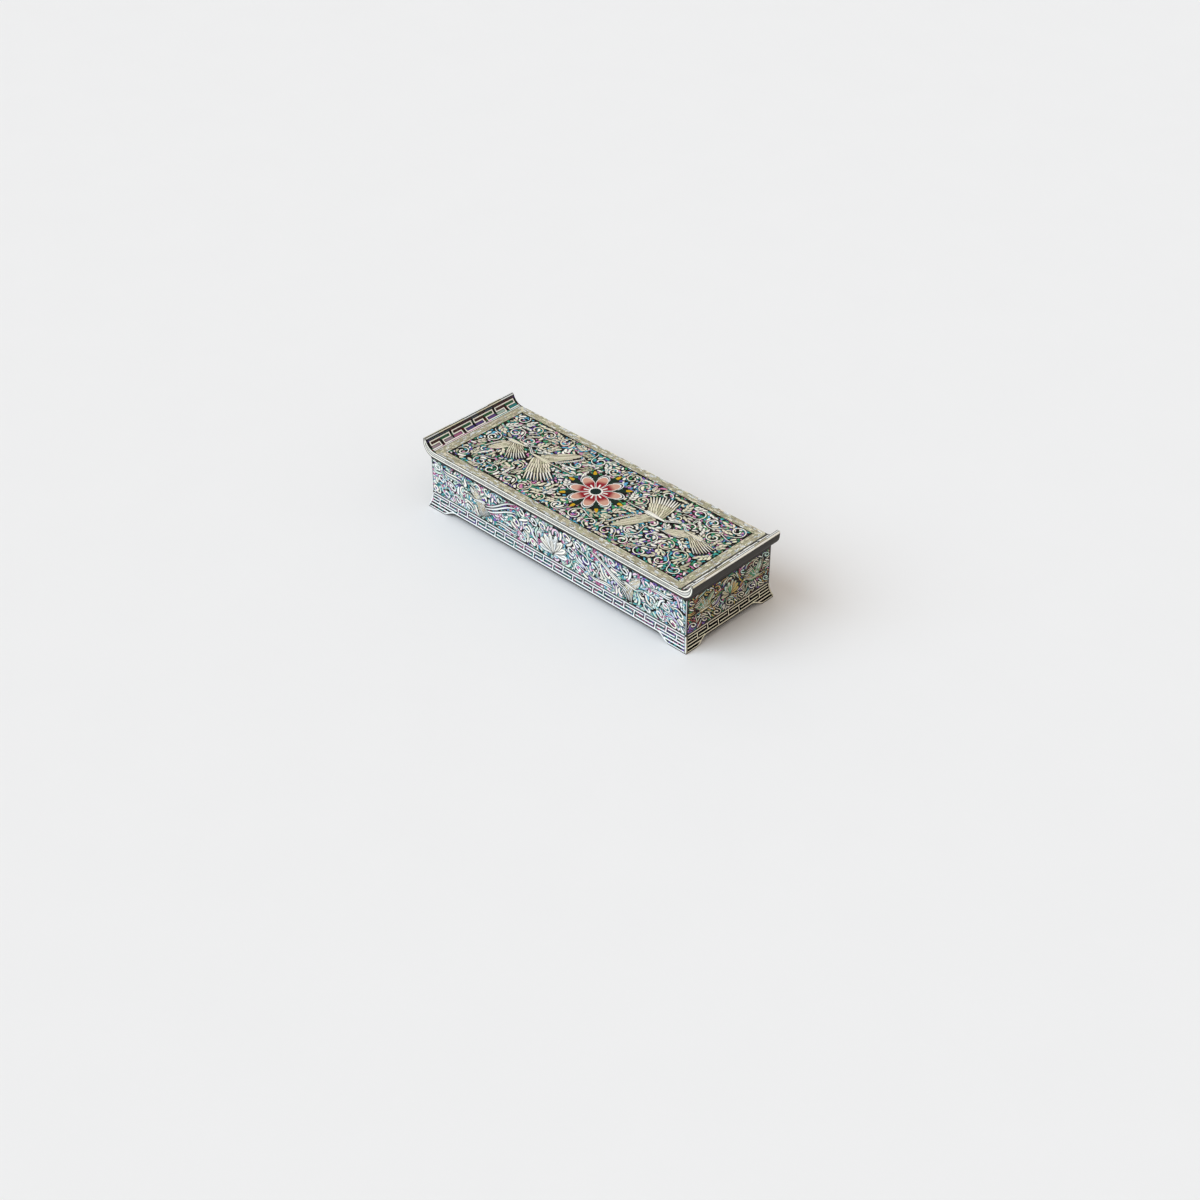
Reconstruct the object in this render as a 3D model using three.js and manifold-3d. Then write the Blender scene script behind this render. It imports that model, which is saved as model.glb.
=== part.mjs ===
// Lacquered pen case with shell inlay: a case on a flared bracket-foot plinth, and a lift-off lid
// whose short ends turn up as scrolls.
// Millimetres, +Z up, X along the case, the front faces -Y, the feet stand on z = 0.

import * as THREE from 'three';
import { mergeVertices } from 'three/addons/utils/BufferGeometryUtils.js';
import Module from 'manifold-3d';

const wasm = await Module();
wasm.setup();

// Case
const CASE_LENGTH = 250;
const CASE_WIDTH = 85.2;
const WALL_THICKNESS = 5;
const WALL_HEIGHT = 31.25;
const BOTTOM_THICKNESS = 3;

// Plinth
const PLINTH_HEIGHT = 12.8;
const PLINTH_LEDGE = 2.5;
const FLARE = 2.5;
const FOOT_EDGE_HEIGHT = 1.8;
const FLARE_BULGE = 0.5;
const FLARE_BEND_HEIGHT = 6;
const ARCH_HEIGHT = 4.1;
const ARCH_SHOULDER = 2.5;
const FRONT_FOOT_LENGTH = 16.5;
const FRONT_ARCH_SWEEP = 11;
const END_FOOT_LENGTH = 11.7;
const END_ARCH_SWEEP = 10;

// Lid
const LID_END_OVERHANG = 5.8;
const LID_SIDE_OVERHANG = 1.5;
const LID_THICKNESS = 5.8;
const SCROLL_LENGTH = 11.8;
const SCROLL_RISE = 7.5;
const TIP_RADIUS = 1.6;
const OUTER_RADIUS = 9.6;
const RAIL_WIDTH = 5;
const RAIL_DEPTH = 5;

// Inlay and lining
const INLAY_THICKNESS = 0.4;
const WALL_INLAY_SIDE_MARGIN = 1;
const WALL_INLAY_LOWER_MARGIN = 0.9;
const WALL_INLAY_UPPER_MARGIN = 2.3;
const PLINTH_INLAY_MARGIN = 0.7;
const EDGE_INLAY_MARGIN = 0.6;
const BORDER_WIDTH = 6.4;
const BORDER_LINE = 0.5;
const MEDALLION_RADIUS = 26;
const MEDALLION_SCALLOP = 6;
const MEDALLION_PETALS = 8;
const MEDALLION_POINTS_PER_PETAL = 10;
const SLOPE_INLAY_TOP_MARGIN = 0.6;
const RIM_OUTER_ANGLE = 8 * THREE.MathUtils.DEG2RAD;
const RIM_INNER_ANGLE = 127 * THREE.MathUtils.DEG2RAD;
const LINING_THICKNESS = 1;
const LINING_DROP = 1.5;

// Clearances
const GLUE_LINE = 0.05;
const MITRE_GAP = 0.1;
const INLAY_FIT = 0.08;
const LID_SEAT_GAP = 0.1;
const RAIL_CLEARANCE = 0.6;

// Modelling: how far cutters reach past the faces that they cut, steps in a curve, and the distance
// within which two corners are one.
const CUT_OVERRUN = 1;
const CURVE_SEGMENTS = 10;
const MERGE_DISTANCE = 1e-5;

// Levels and places that follow from the sizes above
const WALL_FOOT = PLINTH_HEIGHT + GLUE_LINE;
const WALL_TOP = WALL_FOOT + WALL_HEIGHT;
const BOTTOM_TOP = WALL_FOOT + BOTTOM_THICKNESS;
const INNER_HALF_LENGTH = CASE_LENGTH / 2 - WALL_THICKNESS;
const INNER_HALF_WIDTH = CASE_WIDTH / 2 - WALL_THICKNESS;
const POCKET_DEPTH = INLAY_THICKNESS + GLUE_LINE;
const LID_LENGTH = CASE_LENGTH + 2 * LID_END_OVERHANG;
const LID_WIDTH = CASE_WIDTH + 2 * LID_SIDE_OVERHANG;
const LID_UNDERSIDE = WALL_TOP + LID_SEAT_GAP;
const LID_TOP = LID_UNDERSIDE + LID_THICKNESS;
const LID_BOARD_TOP = LID_TOP - POCKET_DEPTH;
const RAIL_FOOT = LID_UNDERSIDE - GLUE_LINE - RAIL_DEPTH;

// The scroll end: a tip circle, a hollow slope that meets it and the lid's top smoothly, and a
// round outer corner. The slope's radius follows from the other sizes.
const TIP_X = LID_LENGTH / 2 - TIP_RADIUS;
const TIP_Z = LID_TOP + SCROLL_RISE - TIP_RADIUS;
const SLOPE_START = LID_LENGTH / 2 - SCROLL_LENGTH;
const TIP_OUT = TIP_X - SLOPE_START;
const TIP_UP = TIP_Z - LID_TOP;
const SLOPE_RADIUS = (TIP_OUT ** 2 + TIP_UP ** 2 - TIP_RADIUS ** 2) / (2 * (TIP_UP + TIP_RADIUS));
const SLOPE_CENTRE_Z = LID_TOP + SLOPE_RADIUS;
const SLOPE_END_ANGLE = Math.atan2(TIP_Z - SLOPE_CENTRE_Z, TIP_OUT);
const SLOPE_INLAY_TOP_ANGLE = SLOPE_END_ANGLE - SLOPE_INLAY_TOP_MARGIN / SLOPE_RADIUS;
const OUTER_CENTRE_X = LID_LENGTH / 2 - OUTER_RADIUS;
const OUTER_CENTRE_Z = LID_UNDERSIDE + OUTER_RADIUS;

const LACQUER = { color: 0x241f1e, roughness: 0.18, metalness: 0 };
const TOP_SHELL = { color: 0xcfc8a8, roughness: 0.25, metalness: 0.1 };
const WALL_SHELL = { color: 0xd6d8cc, roughness: 0.25, metalness: 0.1 };
const BORDER_SHELL = { color: 0xbfb797, roughness: 0.28, metalness: 0.1 };
const FLOWER_PAINT = { color: 0x9c3038, roughness: 0.3, metalness: 0 };
const VELVET = { color: 0x5e1420, roughness: 0.95, metalness: 0 };

// The four sides of the case, each described as if it were the front and then turned into place.
const SIDES = [
  { name: 'front', half: CASE_LENGTH / 2, out: CASE_WIDTH / 2, turn: 0, long: true },
  { name: 'right', half: CASE_WIDTH / 2, out: CASE_LENGTH / 2, turn: Math.PI / 2, long: false },
  { name: 'back', half: CASE_LENGTH / 2, out: CASE_WIDTH / 2, turn: Math.PI, long: true },
  { name: 'left', half: CASE_WIDTH / 2, out: CASE_LENGTH / 2, turn: -Math.PI / 2, long: false },
];

// Solids

function solidFrom(geometry) {
  geometry.deleteAttribute('normal');
  geometry.deleteAttribute('uv');
  const merged = mergeVertices(geometry, MERGE_DISTANCE);
  const vertProperties = new Float32Array(merged.attributes.position.array);
  const triVerts = new Uint32Array(merged.index.array);
  return new wasm.Manifold(new wasm.Mesh({ numProp: 3, vertProperties, triVerts }));
}

function geometryFrom(solid) {
  const mesh = solid.getMesh();
  const geometry = new THREE.BufferGeometry();
  geometry.setAttribute('position', new THREE.BufferAttribute(mesh.vertProperties, 3));
  geometry.setIndex(new THREE.BufferAttribute(mesh.triVerts, 1));
  geometry.computeVertexNormals();
  return geometry;
}

// Prisms: an outline pushed along Z, along Y (outline in X and Z) or along X (outline in Y and Z).

function prism(shape, depth) {
  return new THREE.ExtrudeGeometry(shape, { depth, bevelEnabled: false, curveSegments: CURVE_SEGMENTS });
}

function prismZ(shape, from, to) {
  return solidFrom(prism(shape, to - from).translate(0, 0, from));
}

function prismY(shape, from, to) {
  const axes = new THREE.Matrix4().makeBasis(
    new THREE.Vector3(1, 0, 0),
    new THREE.Vector3(0, 0, 1),
    new THREE.Vector3(0, -1, 0),
  );
  return solidFrom(prism(shape, to - from).applyMatrix4(axes).translate(0, to, 0));
}

function prismX(shape, from, to) {
  const axes = new THREE.Matrix4().makeBasis(
    new THREE.Vector3(0, 1, 0),
    new THREE.Vector3(0, 0, 1),
    new THREE.Vector3(1, 0, 0),
  );
  return solidFrom(prism(shape, to - from).applyMatrix4(axes).translate(from, 0, 0));
}

function rectangle(left, right, lower, upper) {
  const shape = new THREE.Shape();
  shape.moveTo(left, lower);
  shape.lineTo(right, lower);
  shape.lineTo(right, upper);
  shape.lineTo(left, upper);
  shape.closePath();
  return shape;
}

// Plan of a board along the front: outer face at y = -out, inner face one depth behind it, and ends
// cut at 45 degrees through the corner at (half, -out), each drawn back by a gap.
function mitredPlan(half, out, depth, gap, overhang = 0) {
  const shape = new THREE.Shape();
  shape.moveTo(-(half + overhang - gap), -(out + overhang));
  shape.lineTo(half + overhang - gap, -(out + overhang));
  shape.lineTo(half - depth - gap, -(out - depth));
  shape.lineTo(-(half - depth - gap), -(out - depth));
  shape.closePath();
  return shape;
}

function annularSector(x, z, innerRadius, outerRadius, fromAngle, toAngle) {
  const shape = new THREE.Shape();
  shape.absarc(x, z, outerRadius, fromAngle, toAngle, false);
  shape.absarc(x, z, innerRadius, toAngle, fromAngle, true);
  shape.closePath();
  return shape;
}

// Plinth

// Section between the flare curve moved out by one amount and a face behind it. With no back
// given, the back is the flare curve too, moved in by the given thickness.
function flareSection(out, shift, thickness, back) {
  const foot = -(out + FLARE + shift);
  const waist = -(out + shift);
  const bend = -(out + FLARE_BULGE + shift);
  const shape = new THREE.Shape();
  shape.moveTo(foot, 0);
  if (back === undefined) {
    shape.lineTo(foot + thickness, 0);
    shape.lineTo(foot + thickness, FOOT_EDGE_HEIGHT);
    shape.quadraticCurveTo(bend + thickness, FLARE_BEND_HEIGHT, waist + thickness, PLINTH_HEIGHT);
  } else {
    shape.lineTo(back, 0);
    shape.lineTo(back, PLINTH_HEIGHT);
  }
  shape.lineTo(waist, PLINTH_HEIGHT);
  shape.quadraticCurveTo(bend, FLARE_BEND_HEIGHT, foot, FOOT_EDGE_HEIGHT);
  shape.closePath();
  return shape;
}

// Elevation of a plinth board with its two bracket feet and the arch between them, drawn in by an
// equal margin at the foot, the arch and the waist.
function plinthElevation(side, margin) {
  const reach = side.half + FLARE + CUT_OVERRUN;
  const footLength = side.long ? FRONT_FOOT_LENGTH : END_FOOT_LENGTH;
  const sweep = side.long ? FRONT_ARCH_SWEEP : END_ARCH_SWEEP;
  const archHalf = side.half + FLARE - footLength;
  const spring = archHalf + margin;
  const crown = ARCH_HEIGHT + margin;
  const shape = new THREE.Shape();
  shape.moveTo(-reach, margin);
  shape.lineTo(-spring, margin);
  shape.quadraticCurveTo(-spring + ARCH_SHOULDER, crown, -archHalf + sweep, crown);
  shape.lineTo(archHalf - sweep, crown);
  shape.quadraticCurveTo(spring - ARCH_SHOULDER, crown, spring, margin);
  shape.lineTo(reach, margin);
  shape.lineTo(reach, PLINTH_HEIGHT - margin);
  shape.lineTo(-reach, PLINTH_HEIGHT - margin);
  shape.closePath();
  return shape;
}

function plinthSolid(side, section, planGap, elevationMargin) {
  const reach = side.half + FLARE + CUT_OVERRUN;
  const depth = WALL_THICKNESS + PLINTH_LEDGE;
  const plan = mitredPlan(side.half, side.out, depth + CUT_OVERRUN, planGap, FLARE + 2 * CUT_OVERRUN);
  const elevation = plinthElevation(side, elevationMargin);
  const front = -(side.out + FLARE + 2 * CUT_OVERRUN);
  const back = -(side.out - depth - CUT_OVERRUN);
  return prismX(section, -reach, reach)
    .intersect(prismZ(plan, 0, PLINTH_HEIGHT))
    .intersect(prismY(elevation, front, back));
}

function plinthBoard(side) {
  const inner = -(side.out - WALL_THICKNESS - PLINTH_LEDGE);
  const board = plinthSolid(side, flareSection(side.out, 0, 0, inner), MITRE_GAP, 0);
  const pocket = plinthSolid(
    side,
    flareSection(side.out, CUT_OVERRUN, CUT_OVERRUN + POCKET_DEPTH),
    PLINTH_INLAY_MARGIN - INLAY_FIT,
    PLINTH_INLAY_MARGIN - INLAY_FIT,
  );
  return board.subtract(pocket);
}

function plinthInlay(side) {
  const section = flareSection(side.out, 0, INLAY_THICKNESS);
  return plinthSolid(side, section, PLINTH_INLAY_MARGIN, PLINTH_INLAY_MARGIN);
}

// Walls and lining

function wallInlayFace(side, spread) {
  const half = side.half - WALL_INLAY_SIDE_MARGIN + spread;
  const lower = WALL_FOOT + WALL_INLAY_LOWER_MARGIN - spread;
  const upper = WALL_TOP - WALL_INLAY_UPPER_MARGIN + spread;
  return rectangle(-half, half, lower, upper);
}

function wallBoard(side) {
  const plan = mitredPlan(side.half, side.out, WALL_THICKNESS, MITRE_GAP);
  const board = prismZ(plan, WALL_FOOT, WALL_TOP);
  const pocketFace = wallInlayFace(side, INLAY_FIT);
  return board.subtract(prismY(pocketFace, -side.out - CUT_OVERRUN, -side.out + POCKET_DEPTH));
}

function wallInlay(side) {
  return prismY(wallInlayFace(side, 0), -side.out, -side.out + INLAY_THICKNESS);
}

function sideLining(side) {
  const inset = WALL_THICKNESS + GLUE_LINE;
  const plan = mitredPlan(side.half - inset, side.out - inset, LINING_THICKNESS, MITRE_GAP);
  const foot = BOTTOM_TOP + 2 * GLUE_LINE + LINING_THICKNESS;
  return prismZ(plan, foot, RAIL_FOOT - LINING_DROP);
}

function bottomBoard() {
  const halfLength = INNER_HALF_LENGTH - MITRE_GAP;
  const halfWidth = INNER_HALF_WIDTH - MITRE_GAP;
  return prismZ(rectangle(-halfLength, halfLength, -halfWidth, halfWidth), WALL_FOOT, BOTTOM_TOP);
}

function floorLining() {
  const halfLength = INNER_HALF_LENGTH - MITRE_GAP;
  const halfWidth = INNER_HALF_WIDTH - MITRE_GAP;
  const foot = BOTTOM_TOP + GLUE_LINE;
  return prismZ(rectangle(-halfLength, halfLength, -halfWidth, halfWidth), foot, foot + LINING_THICKNESS);
}

// Lid

// The lid seen from the front, drawn in by an equal margin all round.
function lidOutline(margin) {
  const quarter = Math.PI / 2;
  const tipEnd = SLOPE_END_ANGLE + Math.PI;
  const slope = SLOPE_RADIUS + margin;
  const tip = TIP_RADIUS - margin;
  const outer = OUTER_RADIUS - margin;
  const shape = new THREE.Shape();
  shape.moveTo(-OUTER_CENTRE_X, LID_UNDERSIDE + margin);
  shape.lineTo(OUTER_CENTRE_X, LID_UNDERSIDE + margin);
  shape.absarc(OUTER_CENTRE_X, OUTER_CENTRE_Z, outer, -quarter, 0, false);
  shape.absarc(TIP_X, TIP_Z, tip, 0, tipEnd, false);
  shape.absarc(SLOPE_START, SLOPE_CENTRE_Z, slope, SLOPE_END_ANGLE, -quarter, true);
  shape.lineTo(-SLOPE_START, LID_TOP - margin);
  shape.absarc(-SLOPE_START, SLOPE_CENTRE_Z, slope, -quarter, -Math.PI - SLOPE_END_ANGLE, true);
  shape.absarc(-TIP_X, TIP_Z, tip, -SLOPE_END_ANGLE, Math.PI, false);
  shape.absarc(-OUTER_CENTRE_X, OUTER_CENTRE_Z, outer, Math.PI, Math.PI + quarter, false);
  shape.closePath();
  return shape;
}

function edgeInlay(sign) {
  const face = sign * LID_WIDTH / 2;
  const back = face - sign * INLAY_THICKNESS;
  return prismY(lidOutline(EDGE_INLAY_MARGIN), Math.min(face, back), Math.max(face, back));
}

// Pockets for both edge plates, which run across the board and both scroll ends.
function edgePockets() {
  const outline = lidOutline(EDGE_INLAY_MARGIN - INLAY_FIT);
  const face = LID_WIDTH / 2 - POCKET_DEPTH;
  const past = LID_WIDTH / 2 + CUT_OVERRUN;
  return prismY(outline, -past, -face).add(prismY(outline, face, past));
}

function lidBoard(pockets) {
  const halfLength = SLOPE_START - GLUE_LINE / 2;
  const plan = rectangle(-halfLength, halfLength, -LID_WIDTH / 2, LID_WIDTH / 2);
  return prismZ(plan, LID_UNDERSIDE, LID_BOARD_TOP).subtract(pockets);
}

function acrossLid(shape) {
  return prismY(shape, -LID_WIDTH / 2, LID_WIDTH / 2);
}

function slopeInlay() {
  const start = -Math.PI / 2 + GLUE_LINE / SLOPE_RADIUS;
  const back = SLOPE_RADIUS + INLAY_THICKNESS;
  const top = SLOPE_INLAY_TOP_ANGLE;
  return acrossLid(annularSector(SLOPE_START, SLOPE_CENTRE_Z, SLOPE_RADIUS, back, start, top));
}

function slopeRecess() {
  const top = SLOPE_INLAY_TOP_ANGLE + INLAY_FIT / SLOPE_RADIUS;
  const front = SLOPE_RADIUS - CUT_OVERRUN;
  const back = SLOPE_RADIUS + POCKET_DEPTH;
  const start = -Math.PI / 2 - CUT_OVERRUN / SLOPE_RADIUS;
  const past = LID_WIDTH / 2 + CUT_OVERRUN;
  return prismY(annularSector(SLOPE_START, SLOPE_CENTRE_Z, front, back, start, top), -past, past);
}

function rimInlay() {
  const back = TIP_RADIUS - INLAY_THICKNESS;
  return acrossLid(annularSector(TIP_X, TIP_Z, back, TIP_RADIUS, RIM_OUTER_ANGLE, RIM_INNER_ANGLE));
}

function rimRecess() {
  const fit = INLAY_FIT / TIP_RADIUS;
  const back = TIP_RADIUS - POCKET_DEPTH;
  const front = TIP_RADIUS + CUT_OVERRUN;
  const past = LID_WIDTH / 2 + CUT_OVERRUN;
  const sector = annularSector(TIP_X, TIP_Z, back, front, RIM_OUTER_ANGLE - fit, RIM_INNER_ANGLE + fit);
  return prismY(sector, -past, past);
}

function scrollEnd(pockets) {
  const start = SLOPE_START + GLUE_LINE / 2;
  const past = LID_LENGTH / 2 + CUT_OVERRUN;
  const top = LID_TOP + SCROLL_RISE + CUT_OVERRUN;
  const half = rectangle(start, past, LID_UNDERSIDE - CUT_OVERRUN, top);
  return acrossLid(lidOutline(0))
    .intersect(prismY(half, -LID_WIDTH / 2 - CUT_OVERRUN, LID_WIDTH / 2 + CUT_OVERRUN))
    .subtract(slopeRecess())
    .subtract(rimRecess())
    .subtract(pockets);
}

function rail(side) {
  const inset = WALL_THICKNESS + RAIL_CLEARANCE;
  const plan = mitredPlan(side.half - inset, side.out - inset, RAIL_WIDTH, MITRE_GAP);
  return prismZ(plan, RAIL_FOOT, LID_UNDERSIDE - GLUE_LINE);
}

function lidLining() {
  const inset = WALL_THICKNESS + RAIL_CLEARANCE + RAIL_WIDTH + MITRE_GAP;
  const halfLength = CASE_LENGTH / 2 - inset;
  const halfWidth = CASE_WIDTH / 2 - inset;
  const top = LID_UNDERSIDE - GLUE_LINE;
  return prismZ(rectangle(-halfLength, halfLength, -halfWidth, halfWidth), top - LINING_THICKNESS, top);
}

// The medallion's outline: a circle with a scallop for each petal, grown by a fit.
function medallionOutline(fit) {
  const count = MEDALLION_PETALS * MEDALLION_POINTS_PER_PETAL;
  const points = [];
  for (let i = 0; i < count; i += 1) {
    const angle = (2 * Math.PI * i) / count;
    const dip = Math.abs(Math.cos((MEDALLION_PETALS / 2) * angle));
    const radius = MEDALLION_RADIUS - MEDALLION_SCALLOP * (1 - dip) + fit;
    points.push(new THREE.Vector2(radius * Math.cos(angle), radius * Math.sin(angle)));
  }
  return new THREE.Shape(points);
}

function fieldInlay() {
  const halfLength = SLOPE_START - BORDER_WIDTH - BORDER_LINE;
  const halfWidth = LID_WIDTH / 2 - BORDER_WIDTH - BORDER_LINE;
  const field = rectangle(-halfLength, halfLength, -halfWidth, halfWidth);
  field.holes.push(medallionOutline(INLAY_FIT));
  return prismZ(field, LID_TOP - INLAY_THICKNESS, LID_TOP);
}

function medallion() {
  return prismZ(medallionOutline(0), LID_TOP - INLAY_THICKNESS, LID_TOP);
}

function borderStrip(side) {
  const half = side.long ? SLOPE_START : LID_WIDTH / 2;
  const out = side.long ? LID_WIDTH / 2 : SLOPE_START;
  const plan = mitredPlan(half, out, BORDER_WIDTH, MITRE_GAP);
  return prismZ(plan, LID_TOP - INLAY_THICKNESS, LID_TOP);
}

// Assembly

function addPiece(parent, name, solid, finish) {
  const mesh = new THREE.Mesh(geometryFrom(solid), new THREE.MeshStandardMaterial(finish));
  mesh.name = name;
  parent.add(mesh);
}

function makeCase() {
  const group = new THREE.Group();
  addPiece(group, 'bottom_board', bottomBoard(), LACQUER);
  addPiece(group, 'floor_lining', floorLining(), VELVET);
  for (const side of SIDES) {
    const face = new THREE.Group();
    face.rotation.z = side.turn;
    addPiece(face, `${side.name}_wall`, wallBoard(side), LACQUER);
    addPiece(face, `${side.name}_wall_inlay`, wallInlay(side), WALL_SHELL);
    addPiece(face, `${side.name}_plinth_board`, plinthBoard(side), LACQUER);
    addPiece(face, `${side.name}_plinth_inlay`, plinthInlay(side), WALL_SHELL);
    addPiece(face, `${side.name}_lining`, sideLining(side), VELVET);
    group.add(face);
  }
  return group;
}

function makeLid() {
  const group = new THREE.Group();
  const pockets = edgePockets();
  addPiece(group, 'lid_board', lidBoard(pockets), LACQUER);
  addPiece(group, 'lid_lining', lidLining(), VELVET);
  addPiece(group, 'lid_field_inlay', fieldInlay(), TOP_SHELL);
  addPiece(group, 'flower_medallion', medallion(), FLOWER_PAINT);
  addPiece(group, 'lid_front_edge_inlay', edgeInlay(-1), WALL_SHELL);
  addPiece(group, 'lid_back_edge_inlay', edgeInlay(1), WALL_SHELL);
  for (const side of SIDES) {
    const face = new THREE.Group();
    face.rotation.z = side.turn;
    addPiece(face, `${side.name}_lid_rail`, rail(side), LACQUER);
    addPiece(face, `${side.name}_border_strip`, borderStrip(side), BORDER_SHELL);
    group.add(face);
  }
  for (const [name, turn] of [['right', 0], ['left', Math.PI]]) {
    const end = new THREE.Group();
    end.rotation.z = turn;
    addPiece(end, `${name}_scroll_end`, scrollEnd(pockets), LACQUER);
    addPiece(end, `${name}_slope_inlay`, slopeInlay(), BORDER_SHELL);
    addPiece(end, `${name}_rim_inlay`, rimInlay(), TOP_SHELL);
    group.add(end);
  }
  return group;
}

const penCase = new THREE.Group();
penCase.add(makeCase());
penCase.add(makeLid());

export default penCase;
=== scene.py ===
"""Builds the shell-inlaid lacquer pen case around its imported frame, with its stage and camera."""
import math

import bpy
import numpy as np
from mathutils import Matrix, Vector


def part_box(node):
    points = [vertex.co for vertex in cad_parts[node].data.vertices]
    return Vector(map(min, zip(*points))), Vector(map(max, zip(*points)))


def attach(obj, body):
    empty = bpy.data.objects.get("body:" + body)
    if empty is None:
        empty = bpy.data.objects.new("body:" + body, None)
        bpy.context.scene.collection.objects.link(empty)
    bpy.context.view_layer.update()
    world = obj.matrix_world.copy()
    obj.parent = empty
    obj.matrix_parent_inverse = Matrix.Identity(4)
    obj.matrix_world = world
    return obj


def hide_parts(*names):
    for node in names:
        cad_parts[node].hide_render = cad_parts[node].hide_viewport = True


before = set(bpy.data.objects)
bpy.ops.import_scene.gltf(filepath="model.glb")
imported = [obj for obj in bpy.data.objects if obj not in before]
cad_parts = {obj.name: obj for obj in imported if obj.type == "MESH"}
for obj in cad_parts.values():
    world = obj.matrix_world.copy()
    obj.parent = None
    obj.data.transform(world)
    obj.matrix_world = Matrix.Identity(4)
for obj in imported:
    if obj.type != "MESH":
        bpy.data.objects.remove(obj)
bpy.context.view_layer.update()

bl_info = {
    "name": "Inlaid Pen Case",
    "version": (1, 0, 0),
    "blender": (4, 5, 0),
    "location": "View3D > Sidebar > Pen Case",
    "description": "Dresses a lacquer pen case with cut shell, painted flower, velvet and studio light",
    "category": "Object",
}

MM = 0.001
RIGHT_ANGLE = math.pi / 2
TURN = 2 * math.pi
SIDES = ("front", "right", "back", "left")


def linear(code):
    """The linear colour of an sRGB hex code."""
    srgb = np.array([int(code[i:i + 2], 16) for i in (1, 3, 5)]) / 255
    low, high = srgb / 12.92, ((srgb + 0.055) / 1.055) ** 2.4
    return tuple(float(c) for c in np.where(srgb <= 0.04045, low, high))


def box_mm(node):
    """The lowest and highest corner of a frame node in millimetres."""
    return [np.array(corner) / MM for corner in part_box(node)]


# Sizes read from the frame, in millimetres.
FRONT_OUT = -box_mm("front_wall")[0][1]
END_OUT = box_mm("right_wall")[1][0]
FRONT_SHEET_LOW, FRONT_SHEET_HIGH = box_mm("front_wall_inlay")
END_SHEET_HIGH = box_mm("right_wall_inlay")[1]
FIELD_LOW, FIELD_HIGH = box_mm("lid_field_inlay")
LID_TOP = FIELD_HIGH[2]
LID_BASE = box_mm("lid_board")[0][2]
LID_END, LID_SIDE = box_mm("right_scroll_end")[1][:2]
TIP_TOP = box_mm("right_rim_inlay")[1][2]
SLOPE_START = box_mm("lid_board")[1][0]
BORDER_IN_Y = -box_mm("front_border_strip")[1][1]
BORDER_IN_X = box_mm("right_border_strip")[0][0]
FLARE = -box_mm("front_plinth_board")[0][1] - FRONT_OUT
PLINTH_TOP = box_mm("front_plinth_board")[1][2]

# Sizes of the turned and bent shapes that a box doesn't give, in millimetres.
TIP_RADIUS = 1.6
OUTER_RADIUS = 9.6
FOOT_EDGE = 1.8
FLARE_BULGE = 0.5
FLARE_BEND = 6.0
ARCH_HEIGHT = 4.1
FRONT_ARCH = (100.0, 111.0)
END_ARCH = (23.4, 33.4)
TIP_X = LID_END - TIP_RADIUS
TIP_Z = TIP_TOP - TIP_RADIUS
# The slope is the arc that starts level at the lid's top and touches the tip's circle.
SLOPE_RADIUS = ((TIP_X - SLOPE_START) ** 2 + (TIP_Z - LID_TOP) ** 2 - TIP_RADIUS ** 2) / (
    2 * (TIP_Z - LID_TOP + TIP_RADIUS))
SLOPE_ANGLE = math.atan2(TIP_X - SLOPE_START, LID_TOP + SLOPE_RADIUS - TIP_Z)
SLOPE_LENGTH = SLOPE_RADIUS * SLOPE_ANGLE


# Settings


def length(name, description, default):
    """A length setting in metres."""
    return bpy.props.FloatProperty(name=name, description=description, default=default,
                                   min=0.0, precision=5, subtype="DISTANCE", unit="LENGTH")


def colour(name, description, code):
    """A colour setting from an sRGB hex code."""
    return bpy.props.FloatVectorProperty(name=name, description=description, size=3, min=0.0,
                                         max=1.0, subtype="COLOR", default=linear(code))


class PenCaseSizes(bpy.types.PropertyGroup):
    """Sizes of the cut shell and the lining."""
    lift: length("Shell lift", "How far the lowest pieces of shell stand out of the lacquer", 0.00006)
    step: length("Layer step", "How much higher each layer of shell lies than the one below", 0.000006)
    sink: length("Shell bed", "How deep the pieces of shell are bedded in the lacquer", 0.00006)
    gap: length("Gap", "Lacquer left between neighbouring pieces of shell", 0.0002)
    edge: length("Outline", "Width of the dark line left round a figure's pieces", 0.0002)
    vine: length("Vine width", "Width of the cut vine lines", 0.0008)
    fret: length("Fret width", "Width of the cut fret lines", 0.00085)
    course: length("Border course", "Width of one course of the border bands", 0.00105)
    nap: length("Nap", "How far the velvet's pile rises and falls", 0.00012)


class PenCaseShell(bpy.types.PropertyGroup):
    """The tints of the shell."""
    cream: colour("Cream", "Warm nacre", "#ece5ca")
    pale: colour("Pale", "Nearly white nacre", "#f9f6ea")
    olive: colour("Olive", "Greenish nacre", "#c0ba9c")
    gold: colour("Gold", "Yellow nacre", "#caa95c")
    silver: colour("Silver", "Cool white nacre", "#eef2f0")
    mint: colour("Mint", "Pale green nacre", "#cbe6d8")
    ice: colour("Ice", "Pale blue nacre", "#c4dcea")
    blush: colour("Blush", "Pale rose nacre", "#ecd0e0")
    lilac: colour("Lilac", "Pale violet nacre", "#c8bee0")
    teal: colour("Teal", "Blue-green ear shell", "#2f9c9a")
    sky: colour("Sky", "Blue ear shell", "#5cb4d4")
    pink: colour("Pink", "Rose ear shell", "#d67fae")
    violet: colour("Violet", "Violet ear shell", "#7b5fb4")
    green: colour("Green", "Green ear shell", "#3f9a66")
    russet: colour("Russet", "Red-brown ear shell", "#a8463e")
    slate: colour("Slate", "Dark blue ear shell", "#4a5866")
    brown: colour("Brown", "Dark red-brown ear shell", "#4c2424")


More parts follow.
